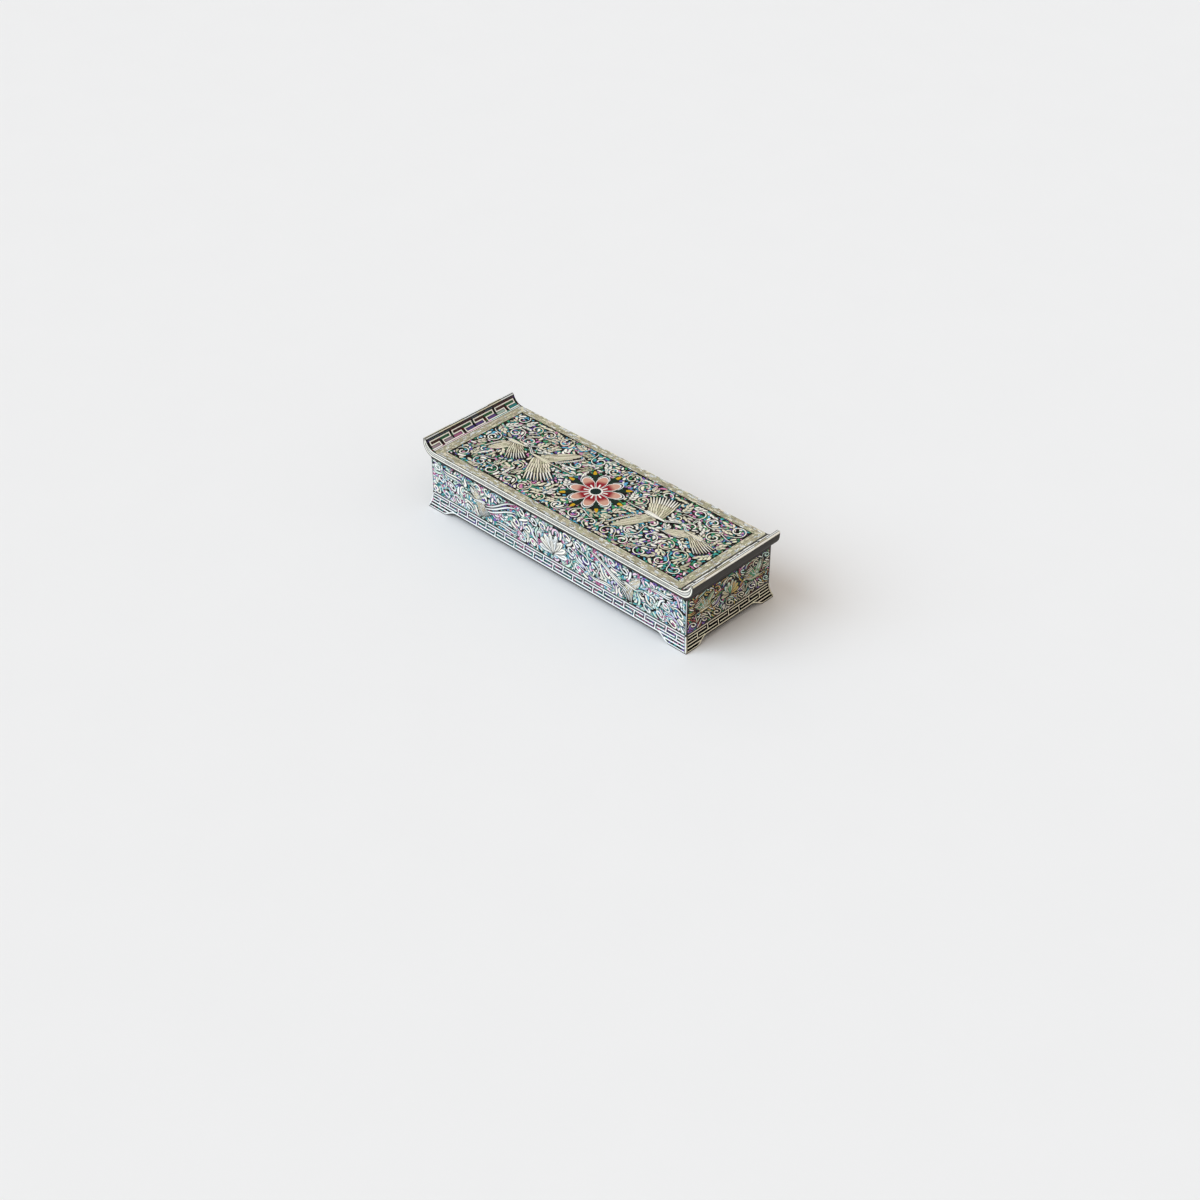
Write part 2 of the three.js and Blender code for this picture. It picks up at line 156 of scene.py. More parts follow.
class PenCasePaint(bpy.types.PropertyGroup):
    """The paints of the flower and the other finishes."""
    red: colour("Red", "Petal base", "#8c0c20")
    rose: colour("Rose", "Petal end", "#cd9c88")
    white: colour("White", "Outlines and stamens", "#f2f0e8")
    heart: colour("Heart", "Centre of the flower", "#052220")
    leaf: colour("Leaf", "Calyx between the petals", "#07281b")
    bud: colour("Bud", "Buds round the flower", "#cea21c")
    lacquer: colour("Lacquer", "Black lacquer", "#100d0f")
    velvet: colour("Velvet", "Lining", "#5c1420")
    floor: colour("Floor", "Floor and backdrop", "#eeeeee")


class PenCaseStage(bpy.types.PropertyGroup):
    """The camera and the light."""
    azimuth: bpy.props.FloatProperty(name="Azimuth", description="Camera's turn round the case",
                                     default=math.radians(43.981), subtype="ANGLE")
    elevation: bpy.props.FloatProperty(name="Elevation", description="Camera's height angle",
                                       default=math.radians(36.856), subtype="ANGLE")
    distance: length("Distance", "From the camera to the point it looks at", 1.4132)
    target_x: bpy.props.FloatProperty(name="Target X", description="Point looked at, along the case",
                                      default=0.04382, unit="LENGTH", subtype="DISTANCE")
    target_y: bpy.props.FloatProperty(name="Target Y", description="Point looked at, across the case",
                                      default=-0.04111, unit="LENGTH", subtype="DISTANCE")
    lens: bpy.props.FloatProperty(name="Lens", description="Focal length in mm on a 36 mm sensor",
                                  default=61.263, min=1.0)
    key: bpy.props.FloatProperty(name="Key", description="Strength of the soft lamp", default=2.42,
                                 min=0.0)
    sky: bpy.props.FloatProperty(name="Sky", description="Strength of the even light", default=0.64,
                                 min=0.0)


TINTS = tuple(PenCaseShell.__annotations__)


def settings(group):
    """The scene's settings of one group."""
    return getattr(bpy.context.scene, "pen_case_" + group)


def size(name):
    """A size setting in millimetres."""
    return getattr(settings("sizes"), name) / MM


def lacquer():
    """The colour of the black lacquer, which also outlines the cut pieces."""
    return settings("paint").lacquer


def tint_table():
    """The shell tints as rows of linear colour, in the order of TINTS."""
    shell = settings("shell")
    return np.array([getattr(shell, name)[:] for name in TINTS])


def tint(name):
    """The linear colour of one shell tint."""
    return tint_table()[TINTS.index(name)]


def mix(**weights):
    """A panel's stock of shell: the share of each tint, in the order of TINTS."""
    shares = np.array([weights.get(name, 0.0) for name in TINTS])
    return shares / shares.sum()


# Materials


def add(tree, kind, inputs=(), **values):
    """Adds a node, sets its values, and sets or links its inputs."""
    made = tree.nodes.new(kind)
    for name, value in values.items():
        setattr(made, name, value)
    for key, value in dict(inputs).items():
        if isinstance(value, bpy.types.NodeSocket):
            tree.links.new(value, made.inputs[key])
        else:
            made.inputs[key].default_value = value
    return made


def material(build, name="", *details):
    """The material of a name, made once. A function adds its nodes, which read the place on the object, and
    returns the inputs of its shader. With no name given, the material has the function's."""
    name = name or build.__name__
    made = bpy.data.materials.get(name)
    if made is None:
        made = bpy.data.materials.new(name)
        made.use_nodes = True
        tree = made.node_tree
        tree.nodes.clear()
        place = add(tree, "ShaderNodeTexCoord").outputs["Object"]
        shader = add(tree, "ShaderNodeBsdfPrincipled", build(tree, place, *details))
        add(tree, "ShaderNodeOutputMaterial", {"Surface": shader.outputs["BSDF"]})
    return made


def per_metre(millimetres):
    """A texture scale at which one cell is this long."""
    return 1 / (millimetres * MM)


def rgba(base, light=1.0):
    """An opaque colour, lighter or darker by a factor."""
    return (*(light * c for c in base), 1)


def waves_per_metre(millimetres):
    """A wave texture's scale at which its lines are this far apart: they repeat every tenth of a turn."""
    return per_metre(millimetres) * TURN / 10


# The gloss of nacre under clear lacquer.
PEARL = {"IOR": 1.53, "Specular IOR Level": 0.25, "Coat Weight": 0.1, "Coat Roughness": 0.08}


def cut_nacre(tree, place):
    """Mother of pearl sawn in thin sheets, glued down and polished under clear lacquer: soft pearly
    body colour by piece, faint growth lines, slow drift of hue, and a hard gloss from the lacquer."""
    piece = add(tree, "ShaderNodeVertexColor", layer_name="tint")
    # Growth lines are about 0.1 mm apart on shell; they are drawn at 0.7 mm so that they show.
    lines = add(tree, "ShaderNodeTexWave", {"Vector": place, "Scale": waves_per_metre(0.7), "Distortion": 9.0,
                                            "Detail": 2.0, "Detail Scale": 0.6}, bands_direction="DIAGONAL")
    shade = add(tree, "ShaderNodeMapRange", {"Value": lines.outputs["Fac"], "To Min": 0.9, "To Max": 1.04})
    drift = add(tree, "ShaderNodeTexNoise", {"Vector": place, "Scale": per_metre(5.0), "Detail": 1.0})
    hue = add(tree, "ShaderNodeMapRange", {"Value": drift.outputs["Fac"], "From Min": 0.3, "From Max": 0.7,
                                           "To Min": 0.475, "To Max": 0.525})
    body = add(tree, "ShaderNodeHueSaturation", {
        "Hue": hue.outputs["Result"], "Value": shade.outputs["Result"], "Color": piece.outputs["Color"]})
    return {"Base Color": body.outputs["Color"], "Roughness": 0.32, **PEARL}


def sheet_nacre(tree, place, light, dark):
    """Whole strips of mother of pearl: near-parallel growth lines and broad soft clouds of colour."""
    clouds = add(tree, "ShaderNodeTexNoise", {"Vector": place, "Scale": per_metre(6.0), "Detail": 3.0})
    lines = add(tree, "ShaderNodeTexWave", {"Vector": place, "Scale": waves_per_metre(0.9),
                                            "Distortion": 6.0, "Detail": 2.0}, bands_direction="DIAGONAL")
    share = add(tree, "ShaderNodeMath", {0: clouds.outputs["Fac"], 1: lines.outputs["Fac"]},
                operation="MULTIPLY")
    body = add(tree, "ShaderNodeMix", {"Factor": share.outputs[0], "A": rgba(light), "B": rgba(dark)},
               data_type="RGBA")
    return {"Base Color": body.outputs["Result"], "Roughness": 0.3, **PEARL}


def black_lacquer(tree, place):
    """Black lacquer brushed and rubbed out on wood: near-black, mirror-like, with a slow waviness
    and fine rubbing marks in the gloss."""
    wave = add(tree, "ShaderNodeTexNoise", {"Vector": place, "Scale": per_metre(14.0), "Detail": 3.0})
    rub = add(tree, "ShaderNodeTexNoise", {"Vector": place, "Scale": per_metre(0.8), "Detail": 4.0})
    gloss = add(tree, "ShaderNodeMapRange", {"Value": rub.outputs["Fac"], "To Min": 0.16, "To Max": 0.34})
    body = add(tree, "ShaderNodeMix", {"Factor": wave.outputs["Fac"], "A": rgba(lacquer()),
                                       "B": rgba(lacquer(), 1.5)}, data_type="RGBA")
    bump = add(tree, "ShaderNodeBump", {"Strength": 0.05, "Distance": 0.1 * MM,
                                        "Height": wave.outputs["Fac"]})
    return {"Base Color": body.outputs["Result"], "Roughness": gloss.outputs["Result"], "IOR": 1.52,
            "Specular IOR Level": 0.14, "Normal": bump.outputs["Normal"]}


def ground_lacquer(tree, place):
    """Black lacquer ground between cut shell, filled and rubbed dull: deep black with little gloss."""
    rub = add(tree, "ShaderNodeTexNoise", {"Vector": place, "Scale": per_metre(1.5), "Detail": 3.0})
    body = add(tree, "ShaderNodeMix", {"Factor": rub.outputs["Fac"], "A": rgba(lacquer(), 0.25),
                                       "B": rgba(lacquer(), 0.7)}, data_type="RGBA")
    return {"Base Color": body.outputs["Result"], "Roughness": 0.5, "Specular IOR Level": 0.05}


def chip_shell(tree, place, bare, shares, stretch, across):
    """Ear shell crushed to chips, strewn close on wet lacquer and rubbed flat: small many-sided chips,
    longer one way, each of one colour and one lightness, with thin black seams and a share left bare."""
    bend = add(tree, "ShaderNodeTexNoise", {"Vector": place, "Scale": per_metre(7.0), "Detail": 1.0})
    push = add(tree, "ShaderNodeVectorMath", {0: bend.outputs["Color"], 1: (5 * MM,) * 3, 2: place},
               operation="MULTIPLY_ADD")
    lie = add(tree, "ShaderNodeMapping", {"Vector": push.outputs[0], "Scale": stretch})
    cells = {"Vector": lie.outputs[0], "Scale": per_metre(across)}
    chips = add(tree, "ShaderNodeTexVoronoi", cells)
    seams = add(tree, "ShaderNodeTexVoronoi", cells, feature="DISTANCE_TO_EDGE")
    pick = add(tree, "ShaderNodeSeparateColor", {"Color": chips.outputs["Color"]})
    # Chips that lie together come from one shell, so their colours drift over about 9 mm.
    region = add(tree, "ShaderNodeTexNoise", {"Vector": place, "Scale": per_metre(9.0), "Detail": 1.0})
    jitter = add(tree, "ShaderNodeMath", {0: pick.outputs["Red"], 1: 0.3, 2: region.outputs["Fac"]},
                 operation="MULTIPLY_ADD")
    near = add(tree, "ShaderNodeMapRange", {"Value": jitter.outputs[0], "From Min": 0.47, "From Max": 0.83})
    ramp = add(tree, "ShaderNodeValToRGB", {"Fac": near.outputs["Result"]})
    stops, shell, start = ramp.color_ramp, settings("shell"), 0.0
    stops.interpolation = "CONSTANT"
    for k, (name, light, share) in enumerate(shares):
        stop = stops.elements[k] if k < 2 else stops.elements.new(start)
        stop.position = start
        stop.color = rgba(getattr(shell, name), light)
        start += share
    shade = add(tree, "ShaderNodeMapRange", {"Value": pick.outputs["Green"], "To Min": 0.7, "To Max": 1.1})
    body = add(tree, "ShaderNodeHueSaturation", {"Value": shade.outputs["Result"],
                                                 "Color": ramp.outputs["Color"]})
    inside = add(tree, "ShaderNodeMapRange", {"Value": seams.outputs["Distance"], "From Min": 0.03,
                                              "From Max": 0.12})
    kept = add(tree, "ShaderNodeMath", {0: pick.outputs["Blue"], 1: bare}, operation="GREATER_THAN")
    shown = add(tree, "ShaderNodeMath", {0: inside.outputs["Result"], 1: kept.outputs[0]},
                operation="MULTIPLY")
    both = add(tree, "ShaderNodeMix", {"Factor": shown.outputs[0], "A": rgba(lacquer(), 0.5),
                                       "B": body.outputs["Color"]}, data_type="RGBA")
    return {"Base Color": both.outputs["Result"], "Roughness": 0.4, "IOR": 1.53, "Specular IOR Level": 0.12}


def flower_paint(tree, place):
    """Enamel-like lacquer paint laid on by brush: strong flat colour with faint brush streaks and an
    even gloss."""
    piece = add(tree, "ShaderNodeVertexColor", layer_name="tint")
    streak = add(tree, "ShaderNodeTexNoise", {"Vector": place, "Scale": per_metre(1.2), "Detail": 3.0})
    shade = add(tree, "ShaderNodeMapRange", {"Value": streak.outputs["Fac"], "To Min": 0.86, "To Max": 1.1})
    body = add(tree, "ShaderNodeHueSaturation", {"Value": shade.outputs["Result"],
                                                 "Color": piece.outputs["Color"]})
    return {"Base Color": body.outputs["Color"], "Roughness": 0.4, "IOR": 1.5, "Specular IOR Level": 0.12}


def pile_velvet(tree, place):
    """Cotton velvet glued to card: a dense short pile, dark face on and pale at a slant, with patches
    where the pile leans another way."""
    lean = add(tree, "ShaderNodeTexNoise", {"Vector": place, "Scale": per_metre(9.0), "Detail": 2.0})
    # Pile threads are about 0.15 mm across; they are drawn at 0.5 mm so that they show.
    pile = add(tree, "ShaderNodeTexNoise", {"Vector": place, "Scale": per_metre(0.5), "Detail": 2.0})
    both = add(tree, "ShaderNodeMath", {0: lean.outputs["Fac"], 1: pile.outputs["Fac"]}, operation="ADD")
    shade = add(tree, "ShaderNodeMapRange", {"Value": both.outputs[0], "From Min": 0.7, "From Max": 1.3,
                                             "To Min": 0.6, "To Max": 1.25})
    base = settings("paint").velvet
    body = add(tree, "ShaderNodeHueSaturation", {"Value": shade.outputs["Result"], "Color": rgba(base)})
    bump = add(tree, "ShaderNodeBump", {"Strength": 0.4, "Distance": 0.2 * MM,
                                        "Height": pile.outputs["Fac"]})
    return {"Base Color": body.outputs["Color"], "Roughness": 0.9, "Sheen Weight": 0.6,
            "Sheen Roughness": 0.4, "Sheen Tint": (*(min(1, 2 * c) for c in base), 1),
            "Normal": bump.outputs["Normal"]}


def studio_paper(tree, place):
    """Matt white paper: even and without gloss, a little greyer in broad patches."""
    grain = add(tree, "ShaderNodeTexNoise", {"Vector": place, "Scale": per_metre(60.0)})
    shade = add(tree, "ShaderNodeMapRange", {"Value": grain.outputs["Fac"], "To Min": 0.985, "To Max": 1.0})
    body = add(tree, "ShaderNodeHueSaturation", {"Value": shade.outputs["Result"],
                                                 "Color": rgba(settings("paint").floor)})
    return {"Base Color": body.outputs["Color"], "Roughness": 0.8, "Specular IOR Level": 0.1}


# Faces to inlay


def turned(side, along, out, z):
    """A point given along one side of the case, out from its middle and up, as x, y, z. The sides are
    quarter turns, in the order of SIDES."""
    x, y = [(along, -out), (out, along), (-along, out), (-out, -along)][side]
    return np.stack(np.broadcast_arrays(x, y, z), -1)


def lid_face(u, v, h):
    """The flat top of the lid: u to the right, v to the back, h up."""
    return np.stack(np.broadcast_arrays(u, v, LID_TOP + h), -1)


def wall_face(side):
    """An upright wall: u along it, v up, h out."""
    reach = (FRONT_OUT, END_OUT)[side % 2]
    return lambda u, v, h: turned(side, u, reach + h, v)


def flare(z):
    """How far the plinth stands out at a height, and the slant of its face there. Its section is the
    quadratic curve from the waist through a bend to the foot edge, then upright."""
    a, b = PLINTH_TOP - 2 * FLARE_BEND + FOOT_EDGE, FLARE_BEND - PLINTH_TOP
    t = (-b - np.sqrt(b * b - a * (PLINTH_TOP - np.clip(z, FOOT_EDGE, PLINTH_TOP)))) / a
    out = 2 * t * (1 - t) * FLARE_BULGE + t * t * FLARE
    d_out = 2 * (1 - 2 * t) * FLARE_BULGE + 2 * t * FLARE
    return out, np.where(z < FOOT_EDGE, 0, np.arctan2(d_out, -2 * (b + a * t)))


def plinth_face(side):
    """A plinth board's flared face: u along it, v the height, h along the section's normal."""
    reach = (FRONT_OUT, END_OUT)[side % 2]

    def face(u, v, h):
        out, slant = flare(v)
        return turned(side, u, reach + out + h * np.cos(slant), v + h * np.sin(slant))
    return face


def slope_face(side):
    """A scroll end's inner slope, an arc: u along the lid's end, v the arc length up from the lid's
    top, h towards the arc's centre."""
    def face(u, v, h):
        angle = v / SLOPE_RADIUS
        arm = SLOPE_RADIUS - h
        return turned(side, -u, SLOPE_START + arm * np.sin(angle),
                      LID_TOP + SLOPE_RADIUS - arm * np.cos(angle))
    return face


def rim_face(side):
    """A scroll end's round rim: u along it, v the arc length from the slope's end over the top, h out."""
    def face(u, v, h):
        angle = RIGHT_ANGLE + SLOPE_ANGLE - v / TIP_RADIUS
        arm = TIP_RADIUS + h
        return turned(side, -u, TIP_X + arm * np.cos(angle), TIP_Z + arm * np.sin(angle))
    return face


def edge_face(side):
    """The lid's long edge: u along it, v the height, h out."""
    return lambda u, v, h: turned(side, u, LID_SIDE + h, v)


# Cut pieces


def unit(angle):
    """The unit vectors of some angles."""
    return np.stack([np.cos(angle), np.sin(angle)], -1)


def strokes(x, y, heading, length, width, bend=(0, 0), taper=(0.5, 0.5), stations=7):
    """Centre points and half widths of tapering strokes. A stroke's heading turns by bend[0] at first and
    bend[1] at last, per its own length, so it follows a curve of evenly changing bend; its half width is
    the product of a power of the way from its root and a power of the way to its tip."""
    x, y, heading, length, width, first, last = (
        np.asarray(a, float).reshape(-1, 1)
        for a in np.broadcast_arrays(*map(np.atleast_1d, (x, y, heading, length, width, *bend))))
    t = np.linspace(0, 1, stations)
    middle = (t[1:] + t[:-1]) / 2
    turn = heading + first * middle + (last - first) * middle ** 2 / 2
    steps = unit(turn) * length[..., None] / (stations - 1)
    start = np.stack([x, y], -1)
    points = np.concatenate([start, start + np.cumsum(steps, 1)], 1)
    return points, tapered(width, t, 0.03, taper, 0.05)


def tapered(width, t, blunt, taper, least):
    """Half widths along a stroke with slightly blunt ends, the widest of them half the width given."""
    profile = (t + blunt) ** taper[0] * (1 + blunt - t) ** taper[1]
    return np.maximum(width / 2 * profile / profile.max(), least)


def moved(points, x, y, turn, scale):
    """Points scaled, turned and carried to x, y."""
    c, s = math.cos(turn), math.sin(turn)
    return scale * points @ np.array([[c, s], [-s, c]]) + (x, y)


def ringed(count):
    """Evenly spaced angles round a turn."""
    return np.arange(count) * TURN / count


class Plan:
    """The drawing of one panel: the pieces cut for it, by layer, and a raster of the ground they
    cover."""
    CELL = 0.2

    def __init__(self, u0, u1, v0, v1, seed):
        self.low, self.high = np.array([u0, v0]), np.array([u1, v1])
        self.taken = np.zeros(np.ceil((self.high - self.low) / self.CELL).astype(int), bool)
        self.random = np.random.default_rng(seed)
        self.layers = {}
        self.eyes = []
        self.drift = (0.0, 0.0)
        self.waves = None

    def window(self, points, half, gap):
        """The raster window of one piece, and the cells in it that lie within its width and the gap."""
        reach = half + gap
        at = (points - self.low) / self.CELL
        low = np.floor((at - reach[:, None] / self.CELL).min(0)).astype(int)
        high = np.ceil((at + reach[:, None] / self.CELL).max(0)).astype(int) + 1
        gx = np.arange(low[0], high[0])[:, None, None] + 0.5
        gy = np.arange(low[1], high[1])[None, :, None] + 0.5
        far = (gx - at[:, 0]) ** 2 + (gy - at[:, 1]) ** 2
        return low, high, (far <= (reach / self.CELL) ** 2).any(-1)

    def free(self, points, half, gap):
        """Whether one piece with its gap lies on the panel and on nothing else."""
        low, high, hit = self.window(points, half, gap)
        if (low < 0).any() or (high > self.taken.shape).any():
            return False
        return not (self.taken[low[0]:high[0], low[1]:high[1]] & hit).any()

    def clear(self, line, reach):
        """Which points of a line lie on open ground, with this much room on all sides."""
        probes = np.concatenate([[(0, 0)], unit(ringed(8)) * reach])
        at = np.floor((line[:, None] + probes - self.low) / self.CELL).astype(int)
        inside = ((at >= 0) & (at < self.taken.shape)).all(-1)
        at = np.clip(at, 0, np.array(self.taken.shape) - 1)
        return (inside & ~self.taken[at[..., 0], at[..., 1]]).all(1)

    def cover(self, points, half):
        """Marks the ground under one piece."""
        low, high, hit = self.window(points, half, 0)
        a, b = np.maximum(low, 0), np.minimum(high, self.taken.shape)
        if (b > a).all():
            part = hit[a[0] - low[0]:b[0] - low[0], a[1] - low[1]:b[1] - low[1]]
            self.taken[a[0]:b[0], a[1]:b[1]] |= part

    def lay(self, layer, points, half, rgb, level=0, mark=True):
        """Lays pieces: points by piece and station, half widths, and colour by piece or station."""
        rgb = np.asarray(rgb, float)
        rgb = np.broadcast_to(rgb.reshape((-1, 1, 3)) if rgb.ndim < 3 else rgb, points.shape[:2] + (3,))
        level = np.broadcast_to(level, len(points))
        self.layers.setdefault(layer, []).append((points, half, rgb, level))
        if mark:
            for one, wide in zip(points, half):
                self.cover(one, wide)

    def lay_outlined(self, layer, points, half, rim, rgb, level=0, rise=0.5, mark=True):
        """Lays pieces on dark ones that are wider by a rim and lie some levels lower."""
        self.lay(layer, points, half + rim, lacquer(), level, mark)
        self.lay(layer, points, half, rgb, level + rise, mark)

    def regional(self, at, stock):
        """Random tints at some places, from a stock whose shares swell and fade slowly over the panel, as
        they do where neighbouring pieces are cut from one shell."""
        kinds = len(TINTS)
        if self.waves is None:
            self.waves = (self.random.normal(0, 0.15, (2, kinds)), self.random.uniform(0, TURN, kinds))
        swell = np.exp(1.5 * np.sin(at @ self.waves[0] + self.waves[1]))
        ends = np.cumsum(stock * swell, 1)
        pick = (self.random.random((len(at), 1)) * ends[:, -1:] > ends).sum(1)
        return tint_table()[pick] * self.random.uniform(0.86, 1.06, (len(at), 1))

    def tints(self, count, stock, darkest=0.84):
        """Random tints from a stock of shell, each a little lighter or darker."""
        rgb = tint_table()[self.random.choice(len(TINTS), count, p=stock)]
        return rgb * self.random.uniform(darkest, 1.06, (count, 1))


def prism_mesh(groups, face, low, high):
    """Closed prisms along centre lines. At each station the section is a four-sided ring, left and right
    at the piece's lift and right and left at its bed; the rings are joined along the piece and capped
    at both ends. Returns points, quads, colours and flat map coordinates."""
    verts, quads, tints, flat, base = [], [], [], [], 0
    lift, step, sink = size("lift"), size("step"), size("sink")
    for points, half, rgb, level in groups:
        count, stations = points.shape[:2]
        along = np.gradient(points, axis=1)
        along /= np.maximum(np.linalg.norm(along, axis=-1, keepdims=True), 1e-9)
        left = np.stack([-along[..., 1], along[..., 0]], -1) * half[..., None]
        ring = np.stack([points + left, points - left, points - left, points + left], 2)
        top = (lift + step * level + sink)[:, None, None] * np.array([1, 1, 0, 0])
        h = np.broadcast_to(top - sink, ring.shape[:3])
        verts.append(face(ring[..., 0], ring[..., 1], h).reshape(-1, 3))
        tints.append(np.broadcast_to(rgb[:, :, None], ring.shape[:3] + (3,)).reshape(-1, 3))
        flat.append(((ring - low) / (high - low)).reshape(-1, 2))
        at = base + np.arange(count * stations * 4).reshape(count, stations, 4)
        nxt = np.roll(at, -1, axis=2)
        sides = np.stack([nxt[:, :-1], nxt[:, 1:], at[:, 1:], at[:, :-1]], -1)
        caps = np.stack([at[:, 0, ::-1], at[:, -1]], 1)
        quads += [sides.reshape(-1, 4), caps.reshape(-1, 4)]
        base += at.size
    return map(np.concatenate, (verts, quads, tints, flat))


def new_object(name, verts, quads, finish, body):
    """A mesh object from points in millimetres and quads, finished and riding on its body."""
    mesh = bpy.data.meshes.new(name)
    mesh.vertices.add(len(verts))
    mesh.vertices.foreach_set("co", (verts * MM).astype(np.float32).ravel())
    mesh.loops.add(quads.size)
    mesh.loops.foreach_set("vertex_index", quads.astype(np.int32).ravel())
    mesh.polygons.add(len(quads))
    mesh.polygons.foreach_set("loop_start", np.arange(0, quads.size, 4, dtype=np.int32))
    mesh.polygons.foreach_set("use_smooth", np.zeros(len(quads), bool))
    mesh.update(calc_edges=True)
    if mesh.validate():
        raise RuntimeError(name + ": the mesh isn't valid")
    mesh.materials.append(finish)
    made = bpy.data.objects.new(name, mesh)
    bpy.context.scene.collection.objects.link(made)
    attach(made, body)
    return made


def inlaid(name, plan, layer, face, body, finish=cut_nacre):
    """One object from one layer of a plan, with its tints and its flat map."""
    verts, quads, tints, flat = prism_mesh(plan.layers[layer], face, plan.low, plan.high)
    made = new_object(name, verts, quads, material(finish), body)
    paint = made.data.color_attributes.new("tint", "FLOAT_COLOR", "POINT")
    paint.data.foreach_set("color", np.concatenate([tints, np.ones((len(tints), 1))], 1)
                           .astype(np.float32).ravel())
    chart = made.data.uv_layers.new(name="OFBake")
    chart.data.foreach_set("uv", flat[quads.ravel()].astype(np.float32).ravel())


# Ornament


# A crane's parts at full size, in millimetres: half the width of its broad wing, that wing's rows of rounded
# feathers (distance from the root, count), and the head and bill (start, length, width, level).
BROAD_HALF = 4.4
BROAD_ROWS = ((8.5, 8), (5.5, 7), (2.5, 6))
HEAD_AND_BILL = ((0, 3.4, 2.1, 65), (2.8, 5.0, 0.8, 64))
# Rows of its fanned wing, flight feathers first: start and end as shares of the reach, spacing at the tips,
# width as a share of the wing's, dark rim, lean, bend and taper.
FAN_ROWS = ((0.5, 1.0, 1.9, 0.055, 0.5, 0, (0.3, 0), (0.2, 0.35)),
            (0.22, 0.66, 1.9, 0.065, 0.32, 0.3, (1.3, -0.7), (0.4, 0.2)),
            (0.08, 0.44, 2.0, 0.07, 0.3, 0.3, (1.3, -0.7), (0.4, 0.2)),
            (-0.02, 0.26, 2.4, 0.075, 0.3, 0.3, (1.3, -0.7), (0.4, 0.2)))
# Rows of a lotus's petals, outer ones first: spread to either side, count, length, width and level.
LOTUS_ROWS = ((1.45, 8, 11, 2.9, 1), (1.0, 6, 10.5, 2.7, 10), (0.5, 4, 9.0, 2.3, 17), (0.16, 2, 6.5, 1.9, 22))
# A sprig's leaves: the station of its stem that each grows from, and the side.
SPRIG_KNOTS, SPRIG_SIDES = np.array([2, 2, 4, 4, 6, 6, 8]), np.array([-1, 1, -1, 1, -1, 1, 0])
# A leaf is tried at these shares of its length until it fits.
LEAF_SHARES = (1, 0.8, 0.62)
# A vine is laid if at least this many points of its line are on open ground.
SHORTEST_RUN = 14


def crane(plan, layer, bright, soft, x, y, heading, scale, fan, broad, neck=1, tail=20.0):
    """A flying crane: a slim body of three strokes, an S-bent neck with head and bill, a long tail, a
    fanned wing and a broad one. The fanned wing is given by its middle angle, its reach and its width at
    the tips: slim flight feathers that spread a little, with three rows of S-bent feathers over their
    roots. The broad wing is given by its angle and reach: soft feathers side by side, a fringe of slim
    ones along its back edge and three rows of rounded ones over its root. Each stroke has a dark one a
    little wider under it, which outlines it."""
    def put(level, stroke, rim=size("edge"), tints=bright, turn=0.0, **form):
        """Lays outlined strokes, turned, scaled and carried to the crane's place."""
        points, half = strokes(*stroke, **form)
        points = moved(points, x, y, turn, scale)
        plan.lay_outlined(layer, points, half * scale, rim * math.sqrt(scale),
                          plan.tints(len(points), tints, 0.86), level + np.arange(len(points)) % 5)
        return points

    angle, reach = math.radians(broad[0]), broad[1]
    back = np.sign(math.sin(math.radians(heading) + math.pi - angle)) or 1
    ahead = unit(angle)
    aside = ahead[::-1] * (-1, 1)
    t = np.linspace(0.35, 1.0, 15)[:, None]
    root = reach * t * ahead + back * (4.6 - 2.2 * t ** 4) * aside
    put(0, (*root.T, angle + back * np.linspace(1.0, 0.15, 15), 3.4, 0.7), 0.3, taper=(0.2, 0.5))
    row = np.linspace(-1, 1, 9)
    root = 0.5 * ahead + BROAD_HALF * row[:, None] * aside
    put(6, (*root.T, angle - 0.05 * row, reach * (1.02 - 0.24 * row ** 2), 1.15), 0.16, soft,
        bend=(0.35, -0.35), taper=(0.1, 0.25), stations=10)
    for start, count in BROAD_ROWS:
        row = np.linspace(-1, 1, count)
        root = start * ahead + BROAD_HALF * row[:, None] * aside
        put(20 - start, (*root.T, angle - 0.12 * row, 3.9, 1.25), 0.28, soft, taper=(0.5, 0.25))

    middle, reach, wide = math.radians(fan[0]), fan[1], fan[2]
    behind = 1.1 * reach
    spread = math.asin(wide / 2 / (reach + behind))
    for k, (start, end, spacing, thick, rim, lean, bend, taper) in enumerate(FAN_ROWS):
        row = np.linspace(-1, 1, round(wide / spacing))
        ray = middle + spread * row
        root = -behind * unit(middle) + (behind + start * reach) * unit(ray)
        put(24 + 6 * k, (*root.T, ray + 0.12 * row - lean, reach * (end - start) * (1 - 0.1 * row ** 2),
                         thick * wide), rim, soft if k else bright, bend=bend, taper=taper, stations=9)

    turn = math.radians(heading)
    row = np.linspace(-1, 1, 5)
    put(48, (-7.0, 0.6 * row, math.pi + 0.08 * row, tail - 3 * np.abs(row), 0.75), turn=turn,
        taper=(0.2, 0.5))
    row = np.array([-1, 1, 0])
    put(54, (-9, 1.2 * row, -0.06 * row, 20 - 3 * np.abs(row), 2.1), turn=turn, taper=(0.5, 0.6),
        stations=9)
    throat = (8.5, 0.4 * neck, 0.35 * neck, 13, 1.9)
    form = {"bend": (1.5 * neck, -2.4 * neck), "taper": (0, 0.15), "stations": 12}
    points = put(60, throat, turn=turn, **form)
    put(62, (*throat[:4], 0.75), 0, mix(slate=0.7, teal=0.3), turn, **form)
    end, way = points[0, -1], points[0, -1] - points[0, -2]
    way = math.atan2(way[1], way[0])
    for start, span, wide, level in HEAD_AND_BILL:
        points, half = strokes(*(end + start * scale * unit(way)), way, span * scale, wide * scale,
                               taper=(0.4, 0.6))
        plan.lay(layer, points, half, plan.tints(1, bright), level)


